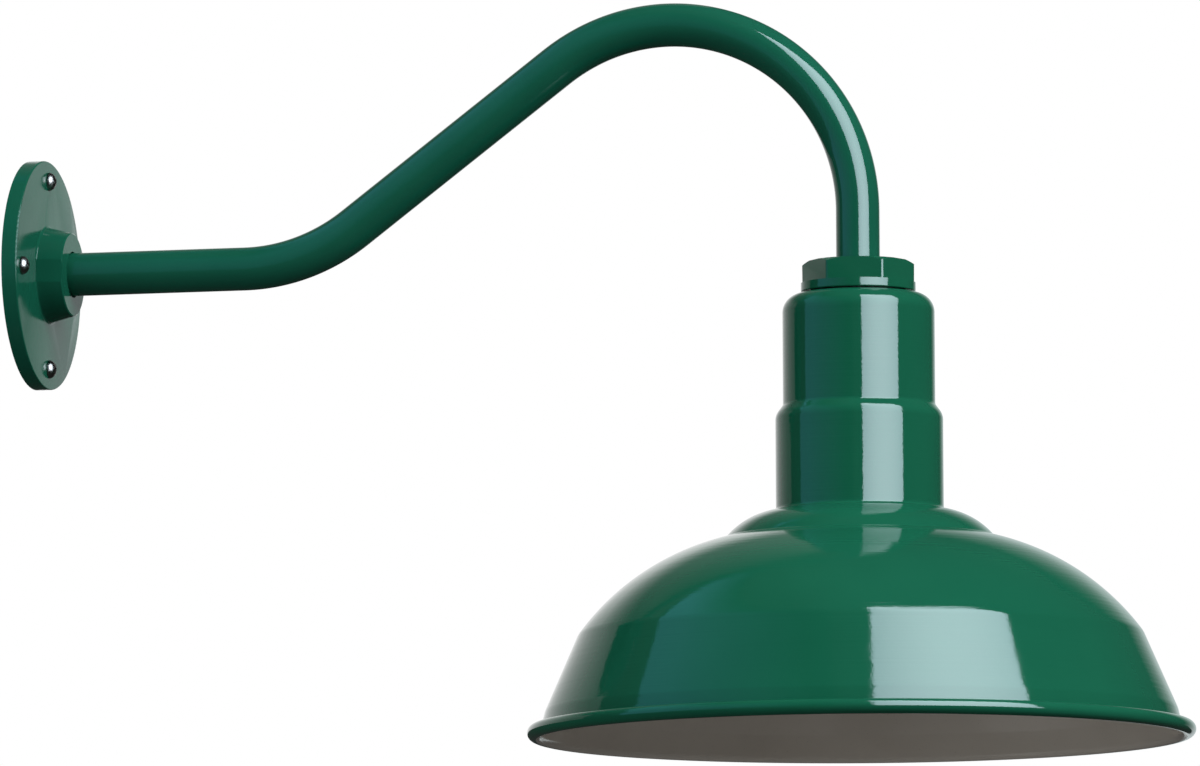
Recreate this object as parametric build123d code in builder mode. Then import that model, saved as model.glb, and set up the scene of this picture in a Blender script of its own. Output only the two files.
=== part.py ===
"""Gooseneck wall sconce: a spun steel shade on a bent pipe arm, with a cast wall plate.

Millimetres. The wall is the plane x = 0, the arm leaves it along +X, and Z is up.
The origin is the centre of the wall plate's back face, on the axis of the arm's first run.
"""
from build123d import *

import os
from math import cos, pi, radians, sin, sqrt, tan

os.makedirs("parts", exist_ok=True)

# --- Driving dimensions -------------------------------------------------------------

# Wall plate: a round cast flange with a tapered boss.
plate_diameter = 142.0
plate_thickness = 9.5
plate_edge_radius = 0.9
boss_base_radius = 29.8
boss_front_radius = 25.8
boss_height = 15.7
boss_root_fillet = 1.6
boss_front_chamfer = 0.6
boss_flat_width = 14.0
boss_mouth_clearance = 1.0
boss_mouth_depth = 1.6
recess_radius = 46.0
recess_depth = 5.0

# Wall gasket, in a groove of the plate's back face.
gasket_inner_radius = 63.4
gasket_width = 3.2
gasket_depth = 1.6

# Wall screws: round heads, on one circle.
screw_circle_diameter = 117.0
screw_count = 4
screw_hole_radius = 3.6
screw_head_radius = 5.65
screw_head_height = 4.6
screw_shank_radius = 2.75
screw_thread_radius = 3.1
screw_thread_length = 24.0
screw_point_length = 8.0
cross_slot_width = 1.3
cross_slot_depth = 2.2
cross_slot_length = 6.2

# Arm: one bent pipe.
pipe_diameter = 26.7
pipe_wall = 2.9
bend_radius = 118.4
wall_run = 135.5
rise_angle = 36.5
rise_length = 160.2
drop_above_hub = 31.4
pipe_thread_cut = 0.65
pipe_inset_in_boss = 9.0
pipe_length_in_hub = 29.0

# Hub cap: a hexagon on a round collar, with a threaded nipple below them.
hub_across_flats = 59.8
hub_hex_height = 13.3
hub_corner_radius = 30.6
hub_chamfer_angle = 30.0
hub_turn = 8.9
hub_collar_radius = 35.0
hub_collar_height = 5.4
hub_collar_round = 0.8
hub_mouth_clearance = 1.1
hub_mouth_depth = 2.2
nipple_radius = 17.0
nipple_length = 15.0
hub_gasket_radius = 28.8
hub_gasket_thickness = 1.0

# Shade: one spun shell. Radii are of its outer face, heights go down from its top.
sheet = 1.2
shade_diameter = 406.4
rim_bead_radius = 4.6
upper_neck_radius = 46.4
upper_neck_corner = 11.2
upper_neck_height = 68.4
neck_step_height = 6.2
neck_step_root_round = 4.0
neck_step_round = 9.0
lower_neck_radius = 51.1
lower_neck_height = 58.6
neck_base_round = 3.0
shoulder_radius = 82.3
shoulder_height = 16.6
shoulder_bulge = 3.6
shoulder_foot_round = 3.0
dome_height = 58.8
dome_bulge = 9.8
knuckle_round = 16.0
skirt_spread = 20.4
skirt_height = 46.7
skirt_to_rim = 6.2
skirt_foot_round = 12.0
rim_height = 12.3
rim_turn = 285.0

# Nuts, bracket and bushing on the nipple.
shade_nut_across_flats = 44.0
shade_nut_thickness = 5.0
bracket_nut_across_flats = 41.0
bracket_nut_thickness = 4.5
bracket_sheet = 1.8
bracket_width = 16.0
bracket_ring_radius = 22.5
bracket_leg_offset = 27.0
bracket_leg_height = 28.0
bracket_bend_radius = 2.6
bracket_foot_reach = 9.0
bushing_bore_radius = 8.0
bushing_flange_radius = 15.2
bushing_flange_thickness = 2.0
bushing_plug_length = 2.6

# Lampholder, for a screw bulb with a 26 mm shell.
holder_radius = 22.0
holder_skirt_radius = 24.0
holder_skirt_height = 24.0
holder_height = 54.0
holder_cavity_depth = 37.0
holder_edge_round = 1.5
holder_screw_offset = 14.0
holder_screw_radius = 2.0
holder_screw_length = 8.0
holder_screw_head_radius = 3.6
holder_screw_head_height = 2.4
shell_wall = 0.5
shell_length = 32.0
shell_top_gap = 1.0
shell_top_hole = 8.0
contact_width = 6.0
contact_sheet = 0.6
contact_drop = 4.6

# Leads through the arm, and the earth lead in the plate's recess.
lead_radius = 1.15
lead_core_radius = 0.55
lead_spacing = 9.0
lead_end_inset = 8.0
lead_tip_inset = 0.6
lead_depth_in_holder = 7.5
lead_tip_in_holder = 0.8
earth_screw_y = 30.0
earth_screw_z = -16.0
earth_pad_radius = 6.0
earth_pad_height = 1.4
earth_screw_radius = 2.3
earth_screw_depth = 3.4
earth_head_radius = 4.2
earth_head_height = 1.6
earth_turn_y = 6.0
earth_turn_radius = 6.0
earth_end_y = 0.0
earth_end_z = -7.0
earth_tip_share = 0.25
terminal_sheet = 0.8
terminal_barrel_radius = 1.7
terminal_barrel_length = 6.0

# Set screws.
set_screw_radius = 2.4
set_screw_socket_radius = 1.3
set_screw_socket_depth = 2.4
set_screw_sink = 0.5

# Bulb.
bulb_shell_radius = 13.1
bulb_shell_length = 22.0
bulb_glass_radius = 30.0
bulb_neck_radius = 12.3
bulb_neck_overlap = 8.0
bulb_neck_sweep = 50.0
bulb_glass_wall = 0.8
bulb_insulator_height = 4.5
bulb_tip_radius = 4.8
bulb_tip_height = 1.4

# Clearances.
thread_clearance = 0.05
hole_clearance = 0.3
seat_gap = 0.1
bulb_clearance = 0.4
contact_gap = 0.3

# --- Places worked out from the driving dimensions ----------------------------------

pipe_radius = pipe_diameter / 2
pipe_bore_radius = pipe_radius - pipe_wall
pipe_thread_radius = pipe_radius - pipe_thread_cut
threaded_bore_radius = pipe_thread_radius + thread_clearance

boss_front_x = plate_thickness + boss_height
screw_circle_radius = screw_circle_diameter / 2

rise = radians(rise_angle)
# The centreline turns up through the rise angle, runs straight, and turns down to vertical.
rise_start_x = wall_run + bend_radius * sin(rise)
rise_start_z = bend_radius * (1 - cos(rise))
arch_x = rise_start_x + rise_length * cos(rise) + bend_radius * sin(rise)
arch_z = rise_start_z + rise_length * sin(rise) - bend_radius * cos(rise)
reach = arch_x + bend_radius

hub_top_z = arch_z - drop_above_hub
hub_hex_base_z = hub_top_z - hub_hex_height
hub_base_z = hub_hex_base_z - hub_collar_height
shade_top_z = hub_base_z - hub_gasket_thickness
shade_nut_top_z = shade_top_z - sheet
bracket_top_z = shade_nut_top_z - shade_nut_thickness
bracket_nut_top_z = bracket_top_z - bracket_sheet
nipple_end_z = hub_base_z - nipple_length
pipe_end_z = hub_top_z - pipe_length_in_hub

holder_top_z = bracket_top_z - bracket_leg_height
holder_base_z = holder_top_z - holder_height
holder_roof_z = holder_base_z + holder_cavity_depth
shell_inner_radius = bulb_shell_radius + bulb_clearance
shell_outer_radius = shell_inner_radius + shell_wall
shell_top_z = holder_roof_z - shell_top_gap

bulb_tip_z = holder_roof_z - seat_gap - contact_drop - contact_sheet - contact_gap
bulb_insulator_z = bulb_tip_z - bulb_tip_height
bulb_shell_z = bulb_insulator_z - bulb_insulator_height
bulb_lip_z = bulb_shell_z - bulb_shell_length

lead_offset = lead_spacing / 2
lead_end_z = holder_top_z - lead_depth_in_holder

shade_axis = Axis((reach, 0, 0), (0, 0, 1))
arm_axis = Axis((0, 0, 0), (1, 0, 0))
# Section planes: sketch x is the radius from the shade's axis, or the distance from the wall.
shade_section = Plane(origin=(reach, 0, 0), x_dir=(1, 0, 0), z_dir=(0, -1, 0))
arm_section = Plane.XZ
# The arm's set screw comes in along Y, half way along the boss.
boss_screw_plane = Plane(
    origin=(plate_thickness + boss_height / 2, 0, 0), x_dir=(1, 0, 0), z_dir=(0, 1, 0)
)


def level(z):
    """The horizontal plane at height z, centred on the shade's axis."""
    return Plane(origin=(reach, 0, z))


def round_edge(piece, radius):
    """The circular edge of a given radius that stands furthest from the wall."""
    circles = piece.edges().filter_by(GeomType.CIRCLE)
    return circles.filter_by(lambda edge: abs(edge.radius - radius) < 0.01).sort_by(Axis.X)[-1]


def finish(piece, name):
    """Label a finished piece and write it to its file."""
    piece.part.label = name
    export_step(piece.part, f"parts/{name}.step")


# --- Wall plate ---------------------------------------------------------------------

with BuildPart() as wall_plate:
    with BuildSketch(arm_section):
        with BuildLine():
            Polyline(
                (0, 0),
                (0, plate_diameter / 2),
                (plate_thickness, plate_diameter / 2),
                (plate_thickness, boss_base_radius),
                (boss_front_x, boss_front_radius),
                (boss_front_x, 0),
                close=True,
            )
        make_face()
    revolve(axis=arm_axis)
    fillet(round_edge(wall_plate, boss_base_radius), boss_root_fillet)
    chamfer(round_edge(wall_plate, boss_front_radius), boss_front_chamfer)
    fillet(round_edge(wall_plate, plate_diameter / 2), plate_edge_radius)
    # Two flats on the boss, facing along Y, that keep its taper.
    flat_sink_base = boss_base_radius - sqrt(boss_base_radius**2 - (boss_flat_width / 2) ** 2)
    flat_sink_front = boss_front_radius - sqrt(boss_front_radius**2 - (boss_flat_width / 2) ** 2)
    with BuildSketch(Plane.XY.offset(-boss_flat_width / 2)):
        for side in (1, -1):
            with BuildLine():
                Polyline(
                    (plate_thickness, side * (boss_base_radius - flat_sink_base)),
                    (plate_thickness, side * (boss_base_radius + boss_root_fillet)),
                    (boss_front_x, side * (boss_base_radius + boss_root_fillet)),
                    (boss_front_x, side * (boss_front_radius - flat_sink_front)),
                    close=True,
                )
            make_face()
    extrude(amount=boss_flat_width, mode=Mode.SUBTRACT)
    # Hollow back, with a pad for the earth screw.
    with BuildSketch(Plane.YZ):
        Circle(recess_radius)
    extrude(amount=recess_depth, mode=Mode.SUBTRACT)
    with BuildSketch(Plane.YZ.offset(recess_depth - earth_pad_height)):
        with Locations((earth_screw_y, earth_screw_z)):
            Circle(earth_pad_radius)
    extrude(amount=earth_pad_height)
    # Groove for the gasket, and the holes.
    with BuildSketch(Plane.YZ):
        Circle(gasket_inner_radius + gasket_width)
        Circle(gasket_inner_radius, mode=Mode.SUBTRACT)
    extrude(amount=gasket_depth, mode=Mode.SUBTRACT)
    with BuildSketch(Plane.YZ):
        with PolarLocations(screw_circle_radius, screw_count):
            Circle(screw_hole_radius)
    extrude(amount=plate_thickness, mode=Mode.SUBTRACT)
    with BuildSketch(Plane.YZ):
        Circle(threaded_bore_radius)
    extrude(amount=boss_front_x, mode=Mode.SUBTRACT)
    with BuildSketch(Plane.YZ.offset(boss_front_x - boss_mouth_depth)):
        Circle(pipe_radius + boss_mouth_clearance)
    extrude(amount=boss_mouth_depth, mode=Mode.SUBTRACT)
    # Threaded holes for the arm's set screw, on the far side, and for the earth screw.
    with BuildSketch(boss_screw_plane):
        Circle(set_screw_radius + thread_clearance)
    extrude(amount=boss_base_radius, mode=Mode.SUBTRACT)
    with BuildSketch(Plane.YZ.offset(recess_depth - earth_pad_height)):
        with Locations((earth_screw_y, earth_screw_z)):
            Circle(earth_screw_radius + thread_clearance)
    extrude(amount=earth_screw_depth + seat_gap, mode=Mode.SUBTRACT)
finish(wall_plate, "wall_plate")

with BuildPart() as wall_gasket:
    with BuildSketch(Plane.YZ):
        Circle(gasket_inner_radius + gasket_width - seat_gap)
        Circle(gasket_inner_radius + seat_gap, mode=Mode.SUBTRACT)
    extrude(amount=gasket_depth - seat_gap)
finish(wall_gasket, "wall_gasket")

# --- Wall screws --------------------------------------------------------------------

# One screw along X at z = 0: a domed head, a plain shank in the plate, a thread and a point.
head_seat_x = plate_thickness + seat_gap
with BuildPart() as one_screw:
    with BuildSketch(arm_section):
        with BuildLine():
            head_top = (head_seat_x + screw_head_height, 0)
            head_rim = (head_seat_x, screw_head_radius)
            dome_mid = (
                head_seat_x + screw_head_height * sin(pi / 4),
                screw_head_radius * cos(pi / 4),
            )
            ThreePointArc(head_top, dome_mid, head_rim)
            Polyline(
                head_rim,
                (head_seat_x, screw_shank_radius),
                (0, screw_shank_radius),
                (0, screw_thread_radius),
                (-screw_thread_length, screw_thread_radius),
                (-screw_thread_length - screw_point_length, 0),
                head_top,
            )
        make_face()
    revolve(axis=arm_axis)
    with BuildSketch(Plane.YZ.offset(head_seat_x + screw_head_height - cross_slot_depth)):
        Rectangle(cross_slot_length, cross_slot_width)
        Rectangle(cross_slot_width, cross_slot_length)
    extrude(amount=cross_slot_depth, mode=Mode.SUBTRACT)

with BuildPart() as plate_screws:
    for turn in range(screw_count):
        angle = turn * 360 / screw_count
        place = Location((0, 0, 0), (angle, 0, 0)) * Location((0, screw_circle_radius, 0))
        add(one_screw.part.moved(place))
finish(plate_screws, "plate_screws")

# --- Arm ----------------------------------------------------------------------------


def arm_route(start_x, end_z, plane):
    """The arm's centreline on a plane parallel to XZ, from start_x down to end_z."""
    with BuildLine(plane) as route:
        first = Line((start_x, 0), (wall_run, 0))
        up = JernArc(start=first @ 1, tangent=first % 1, radius=bend_radius, arc_size=rise_angle)
        straight = PolarLine(start=up @ 1, length=rise_length, angle=rise_angle)
        JernArc(
            start=straight @ 1,
            tangent=straight % 1,
            radius=bend_radius,
            arc_size=-(90 + rise_angle),
        )
        Line((reach, arch_z), (reach, end_z))
    return route.line


with BuildPart() as gooseneck_arm:
    centreline = arm_route(pipe_inset_in_boss, pipe_end_z, arm_section)
    with BuildLine():
        add(centreline)
    with BuildSketch(Plane.YZ.offset(pipe_inset_in_boss)):
        Circle(pipe_radius)
        Circle(pipe_bore_radius, mode=Mode.SUBTRACT)
    sweep()
    # Both ends are turned down to the thread.
    with BuildSketch(Plane.YZ.offset(pipe_inset_in_boss)):
        Circle(pipe_radius + pipe_wall)
        Circle(pipe_thread_radius, mode=Mode.SUBTRACT)
    extrude(amount=boss_front_x - boss_mouth_depth - pipe_inset_in_boss, mode=Mode.SUBTRACT)
    with BuildSketch(level(pipe_end_z)):
        Circle(pipe_radius + pipe_wall)
        Circle(pipe_thread_radius, mode=Mode.SUBTRACT)
    extrude(amount=pipe_length_in_hub - hub_mouth_depth, mode=Mode.SUBTRACT)
finish(gooseneck_arm, "gooseneck_arm")

# --- Hub ----------------------------------------------------------------------------

hub_circumradius = hub_across_flats / 2 / cos(pi / 6)
hub_cone_radius = hub_circumradius + 1
hub_cone_foot_z = hub_top_z - (hub_cone_radius - hub_corner_radius) * tan(radians(hub_chamfer_angle))
# A flat faces along -Y, and the hexagon is then turned about its axis by hub_turn.
hub_plane = Plane(origin=(reach, 0, hub_hex_base_z)).rotated((0, 0, hub_turn))
hub_screw_plane = Plane(
    origin=hub_plane.from_local_coords((0, 0, hub_hex_height / 2)),
    x_dir=hub_plane.x_dir,
    z_dir=hub_plane.y_dir,
)

with BuildPart() as hub_cap:
    with BuildSketch(hub_plane):
        RegularPolygon(hub_across_flats / 2, 6, major_radius=False)
    extrude(amount=hub_hex_height)
    # The six top corners are turned to a cone.
    with BuildSketch(shade_section):
        with BuildLine():
            Polyline(
                (hub_corner_radius, hub_top_z),
                (hub_cone_radius, hub_top_z),
                (hub_cone_radius, hub_cone_foot_z),
                close=True,
            )
        make_face()
    revolve(axis=shade_axis, mode=Mode.SUBTRACT)
    # The round collar below the hexagon, and the nipple.
    with BuildSketch(level(hub_base_z)):
        Circle(hub_collar_radius)
    extrude(amount=hub_collar_height)
    fillet(hub_cap.edges().filter_by(GeomType.CIRCLE).group_by(Axis.Z)[0], hub_collar_round)
    with BuildSketch(level(nipple_end_z)):
        Circle(nipple_radius)
    extrude(amount=nipple_length)
    with BuildSketch(level(nipple_end_z)):
        Circle(threaded_bore_radius)
    extrude(amount=hub_top_z - nipple_end_z, mode=Mode.SUBTRACT)
    with BuildSketch(level(hub_top_z - hub_mouth_depth)):
        Circle(pipe_radius + hub_mouth_clearance)
    extrude(amount=hub_mouth_depth, mode=Mode.SUBTRACT)
    # Threaded hole for the set screw, in the far flat.
    with BuildSketch(hub_screw_plane):
        Circle(set_screw_radius + thread_clearance)
    extrude(amount=hub_circumradius, mode=Mode.SUBTRACT)
finish(hub_cap, "hub_cap")


def set_screw(inner, outer):
    """A headless screw along +Z from height inner to outer, with a hexagon key socket."""
    with BuildPart() as screw:
        with BuildSketch(Plane.XY.offset(inner)):
            Circle(set_screw_radius)
        extrude(amount=outer - inner)
        with BuildSketch(Plane.XY.offset(outer)):
            RegularPolygon(set_screw_socket_radius, 6)
        extrude(amount=-set_screw_socket_depth, mode=Mode.SUBTRACT)
    return screw.part


boss_radius_at_screw = (boss_base_radius + boss_front_radius) / 2
with BuildPart() as arm_set_screw:
    lower = pipe_thread_radius + seat_gap
    upper = boss_radius_at_screw - set_screw_sink
    add(set_screw(lower, upper).moved(Location(boss_screw_plane)))
finish(arm_set_screw, "arm_set_screw")

with BuildPart() as hub_set_screw:
    lower = pipe_thread_radius + seat_gap
    upper = hub_across_flats / 2 - set_screw_sink
    add(set_screw(lower, upper).moved(Location(hub_screw_plane)))
finish(hub_set_screw, "hub_set_screw")

with BuildPart() as hub_gasket:
    with BuildSketch(level(shade_top_z)):
        Circle(hub_gasket_radius)
        Circle(nipple_radius + hole_clearance, mode=Mode.SUBTRACT)
    extrude(amount=hub_gasket_thickness)
finish(hub_gasket, "hub_gasket")

# --- Shade --------------------------------------------------------------------------

rim_centre_radius = shade_diameter / 2 - rim_bead_radius
skirt_foot_radius = rim_centre_radius - skirt_to_rim
knuckle_radius = skirt_foot_radius - skirt_spread
neck_end_z = shade_top_z - upper_neck_height
step_end_z = neck_end_z - neck_step_height
neck_base_z = step_end_z - lower_neck_height
shoulder_z = neck_base_z - shoulder_height
knuckle_z = shoulder_z - dome_height
skirt_foot_z = knuckle_z - skirt_height
rim_z = skirt_foot_z - rim_height
# The outline runs along the middle of the sheet. The sheet's end rolls round the rim's centre.
sheet_mid = sheet / 2
curl_radius = rim_bead_radius - sheet_mid
curl_start_radius = rim_centre_radius - curl_radius
print("rim height", round(rim_z, 2), "lowest point", round(rim_z - rim_bead_radius, 2))

with BuildPart() as shade:
    with BuildSketch(shade_section):
        with BuildLine() as sheet_line:
            FilletPolyline(
                (nipple_radius + hole_clearance + sheet_mid, shade_top_z - sheet_mid),
                (upper_neck_radius - sheet_mid, shade_top_z - sheet_mid),
                (upper_neck_radius - sheet_mid, neck_end_z),
                (lower_neck_radius - sheet_mid, step_end_z),
                (lower_neck_radius - sheet_mid, neck_base_z),
                radius=[upper_neck_corner, neck_step_root_round, neck_step_round],
            )
            neck_base = (lower_neck_radius - sheet_mid, neck_base_z)
            shoulder_foot = (shoulder_radius - sheet_mid, shoulder_z)
            knuckle = (knuckle_radius - sheet_mid, knuckle_z)
            skirt_foot = (skirt_foot_radius - sheet_mid, skirt_foot_z)
            SagittaArc(neck_base, shoulder_foot, shoulder_bulge)
            SagittaArc(shoulder_foot, knuckle, dome_bulge)
            Line(knuckle, skirt_foot)
            Line(skirt_foot, (curl_start_radius, rim_z))
            CenterArc((rim_centre_radius, rim_z), curl_radius, 180, rim_turn)
            corner_rounds = (
                (neck_base, neck_base_round),
                (shoulder_foot, shoulder_foot_round),
                (knuckle, knuckle_round),
                (skirt_foot, skirt_foot_round),
            )
            for corner, radius in corner_rounds:
                fillet(sheet_line.vertices().sort_by_distance(corner)[0], radius)
            offset(amount=sheet_mid)
        make_face()
    revolve(axis=shade_axis)
finish(shade, "shade")

# --- Nuts, bracket and bushing on the nipple ----------------------------------------


def nipple_nut(top_z, thickness, across_flats):
    """A hexagon nut on the hub's nipple, with its upper face at top_z."""
    with BuildPart() as nut:
        with BuildSketch(level(top_z)):
            RegularPolygon(across_flats / 2, 6, major_radius=False)
            Circle(nipple_radius + thread_clearance, mode=Mode.SUBTRACT)
        extrude(amount=-thickness)
    return nut


shade_lock_nut = nipple_nut(shade_nut_top_z, shade_nut_thickness, shade_nut_across_flats)
finish(shade_lock_nut, "shade_lock_nut")

bracket_nut = nipple_nut(bracket_nut_top_z, bracket_nut_thickness, bracket_nut_across_flats)
finish(bracket_nut, "bracket_nut")

with BuildPart() as socket_bracket:
    # Two legs in one strap: along the ring, down, and in to the feet.
    bracket_mid = bracket_sheet / 2
    strap_top_z = bracket_top_z - bracket_mid
    foot_z = holder_top_z + bracket_mid
    leg_x = bracket_leg_offset - bracket_mid
    with BuildSketch(shade_section):
        for side in (1, -1):
            with BuildLine():
                FilletPolyline(
                    (side * (nipple_radius + 1), strap_top_z),
                    (side * leg_x, strap_top_z),
                    (side * leg_x, foot_z),
                    (side * bracket_foot_reach, foot_z),
                    radius=bracket_bend_radius,
                )
                offset(amount=bracket_mid, side=Side.BOTH)
            make_face()
    extrude(amount=bracket_width / 2, both=True)
    with BuildSketch(level(bracket_top_z)):
        Circle(bracket_ring_radius)
    extrude(amount=-bracket_sheet)
    with BuildSketch(level(bracket_top_z)):
        Circle(nipple_radius + hole_clearance)
    extrude(amount=-bracket_sheet, mode=Mode.SUBTRACT)
    with BuildSketch(level(holder_top_z)):
        with Locations((holder_screw_offset, 0), (-holder_screw_offset, 0)):
            Circle(holder_screw_radius + hole_clearance)
    extrude(amount=bracket_sheet, mode=Mode.SUBTRACT)
finish(socket_bracket, "socket_bracket")

with BuildPart() as wire_bushing:
    with BuildSketch(level(nipple_end_z)):
        Circle(pipe_thread_radius)
    extrude(amount=bushing_plug_length)
    with BuildSketch(level(nipple_end_z)):
        Circle(bushing_flange_radius)
    extrude(amount=-bushing_flange_thickness)
    with BuildSketch(level(nipple_end_z - bushing_flange_thickness)):
        Circle(bushing_bore_radius)
    extrude(amount=bushing_flange_thickness + bushing_plug_length, mode=Mode.SUBTRACT)
    fillet(wire_bushing.edges().filter_by(GeomType.CIRCLE).sort_by(Axis.Z)[0:2], 0.6)
finish(wire_bushing, "wire_bushing")

# --- Lampholder ---------------------------------------------------------------------

with BuildPart() as socket_body:
    skirt_top_z = holder_base_z + holder_skirt_height
    with BuildSketch(shade_section):
        with BuildLine():
            Polyline(
                (0, holder_top_z),
                (holder_radius, holder_top_z),
                (holder_radius, skirt_top_z + holder_skirt_radius - holder_radius),
                (holder_skirt_radius, skirt_top_z),
                (holder_skirt_radius, holder_base_z),
                (shell_outer_radius + seat_gap, holder_base_z),
                (shell_outer_radius + seat_gap, holder_roof_z),
                (0, holder_roof_z),
                close=True,
            )
        make_face()
    revolve(axis=shade_axis)
    rims = socket_body.edges().filter_by(GeomType.CIRCLE)
    fillet(rims.sort_by(Axis.Z)[-1], holder_edge_round)
    outer_rim = rims.filter_by(lambda edge: abs(edge.radius - holder_skirt_radius) < 0.01)
    fillet(outer_rim.sort_by(Axis.Z)[0], holder_edge_round)
    with BuildSketch(level(holder_top_z)):
        with Locations((holder_screw_offset, 0), (-holder_screw_offset, 0)):
            Circle(holder_screw_radius + thread_clearance)
    extrude(amount=-holder_screw_length, mode=Mode.SUBTRACT)
    with BuildSketch(level(holder_top_z)):
        with Locations((0, lead_offset), (0, -lead_offset)):
            Circle(lead_radius + hole_clearance)
    extrude(amount=-(lead_depth_in_holder + 1), mode=Mode.SUBTRACT)
finish(socket_body, "socket_body")

with BuildPart() as socket_screws:
    with BuildSketch(level(holder_top_z + bracket_sheet)):
        with Locations((holder_screw_offset, 0), (-holder_screw_offset, 0)):
            Circle(holder_screw_head_radius)
    extrude(amount=holder_screw_head_height)
    fillet(
        socket_screws.edges().filter_by(GeomType.CIRCLE).group_by(Axis.Z)[-1],
        holder_screw_head_height / 2,
    )
    with BuildSketch(level(holder_top_z + bracket_sheet)):
        with Locations((holder_screw_offset, 0), (-holder_screw_offset, 0)):
            Circle(holder_screw_radius)
    extrude(amount=-(bracket_sheet + holder_screw_length - seat_gap))
    with BuildSketch(level(holder_top_z + bracket_sheet + holder_screw_head_height)):
        with Locations((holder_screw_offset, 0), (-holder_screw_offset, 0)):
            Rectangle(holder_screw_head_radius * 2, lead_core_radius * 2)
    extrude(amount=-holder_screw_head_height / 2, mode=Mode.SUBTRACT)
finish(socket_screws, "socket_screws")

with BuildPart() as screw_shell:
    with BuildSketch(shade_section):
        with BuildLine():
            Polyline(
                (shell_outer_radius, shell_top_z - shell_length),
                (shell_outer_radius, shell_top_z),
                (shell_top_hole, shell_top_z),
                (shell_top_hole, shell_top_z - shell_wall),
                (shell_inner_radius, shell_top_z - shell_wall),
                (shell_inner_radius, shell_top_z - shell_length),
                close=True,
            )
        make_face()
    revolve(axis=shade_axis)
finish(screw_shell, "screw_shell")

with BuildPart() as centre_contact:
    contact_top_z = holder_roof_z - seat_gap - contact_sheet / 2
    contact_low_z = contact_top_z - contact_drop
    with BuildSketch(shade_section):
        with BuildLine():
            FilletPolyline(
                (-contact_width, contact_top_z),
                (contact_width * 2 / 3, contact_top_z),
                (contact_width * 2 / 3, contact_low_z),
                (-contact_width / 3, contact_low_z),
                radius=contact_drop / 3,
            )
            offset(amount=contact_sheet / 2, side=Side.BOTH)
        make_face()
    extrude(amount=contact_width / 2, both=True)
finish(centre_contact, "centre_contact")

# --- Leads --------------------------------------------------------------------------


def round_wire(route, radius, bore=0.0):
    """A round wire along a route, or its insulation where it has a bore."""
    with BuildPart() as wire:
        with BuildLine():
            add(route)
        with BuildSketch(Plane(origin=route @ 0, z_dir=route % 0)):
            Circle(radius)
            if bore:
                Circle(bore, mode=Mode.SUBTRACT)
        sweep()
    return wire


def arm_lead_route(side, start_x, end_z):
    """The route of a lead through the arm, on one side of the arm's centreline."""
    return arm_route(start_x, end_z, Plane.XZ.offset(-side * lead_offset))


insulation_bore = lead_core_radius + thread_clearance

black_lead = round_wire(arm_lead_route(-1, lead_end_inset, lead_end_z), lead_radius, insulation_bore)
finish(black_lead, "black_lead")

white_lead = round_wire(arm_lead_route(1, lead_end_inset, lead_end_z), lead_radius, insulation_bore)
finish(white_lead, "white_lead")

# The earth lead lies in the recess, from its terminal to the mouth of the arm.
earth_seat_x = recess_depth - earth_pad_height
earth_lead_x = recess_depth - terminal_barrel_radius - seat_gap
barrel_start_y = earth_screw_y - earth_pad_radius - seat_gap
barrel_end_y = barrel_start_y - terminal_barrel_length
earth_plane = Plane.YZ.offset(earth_lead_x)


def earth_route(start_y, end_y, end_z):
    """The earth lead's route, from its terminal to a point by the arm's mouth."""
    with BuildLine(earth_plane) as route:
        FilletPolyline(
            (start_y, earth_screw_z),
            (earth_turn_y, earth_screw_z),
            (end_y, end_z),
            radius=earth_turn_radius,
        )
    return route.line


earth_lead = round_wire(
    earth_route(barrel_end_y - seat_gap, earth_end_y, earth_end_z), lead_radius, insulation_bore
)
finish(earth_lead, "earth_lead")

with BuildPart() as lead_cores:
    for side in (-1, 1):
        route = arm_lead_route(side, lead_tip_inset, lead_end_z - lead_tip_in_holder)
        add(round_wire(route, lead_core_radius).part)
    # The earth lead's bare tip goes on in the direction of its last run.
    tip_y = earth_end_y + (earth_end_y - earth_turn_y) * earth_tip_share
    tip_z = earth_end_z + (earth_end_z - earth_screw_z) * earth_tip_share
    add(round_wire(earth_route(barrel_end_y + 2, tip_y, tip_z), lead_core_radius).part)
finish(lead_cores, "lead_cores")

with BuildPart() as earth_terminal:
    ring_back_x = earth_seat_x - seat_gap - terminal_sheet
    with BuildSketch(Plane.YZ.offset(ring_back_x)):
        with Locations((earth_screw_y, earth_screw_z)):
            Circle(earth_head_radius)
        with Locations(((earth_screw_y + barrel_start_y) / 2, earth_screw_z)):
            Rectangle(earth_screw_y - barrel_start_y + 2, terminal_barrel_radius * 2)
        with Locations((earth_screw_y, earth_screw_z)):
            Circle(earth_screw_radius + hole_clearance, mode=Mode.SUBTRACT)
    extrude(amount=terminal_sheet)
    with BuildSketch(Plane(origin=(earth_lead_x, barrel_end_y, earth_screw_z), z_dir=(0, 1, 0))):
        Circle(terminal_barrel_radius)
    extrude(amount=terminal_barrel_length)
    with BuildSketch(Plane(origin=(earth_lead_x, barrel_end_y, earth_screw_z), z_dir=(0, 1, 0))):
        Circle(lead_core_radius + thread_clearance)
    extrude(amount=terminal_barrel_length / 2, mode=Mode.SUBTRACT)
finish(earth_terminal, "earth_terminal")

with BuildPart() as earth_screw:
    head_seat = ring_back_x - seat_gap
    with BuildSketch(Plane.YZ.offset(head_seat)):
        with Locations((earth_screw_y, earth_screw_z)):
            RegularPolygon(earth_head_radius, 6, major_radius=False)
    extrude(amount=-earth_head_height)
    with BuildSketch(Plane.YZ.offset(head_seat)):
        with Locations((earth_screw_y, earth_screw_z)):
            Circle(earth_screw_radius)
    extrude(amount=earth_seat_x - head_seat + earth_screw_depth)
finish(earth_screw, "earth_screw")

# --- Bulb ---------------------------------------------------------------------------

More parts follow.
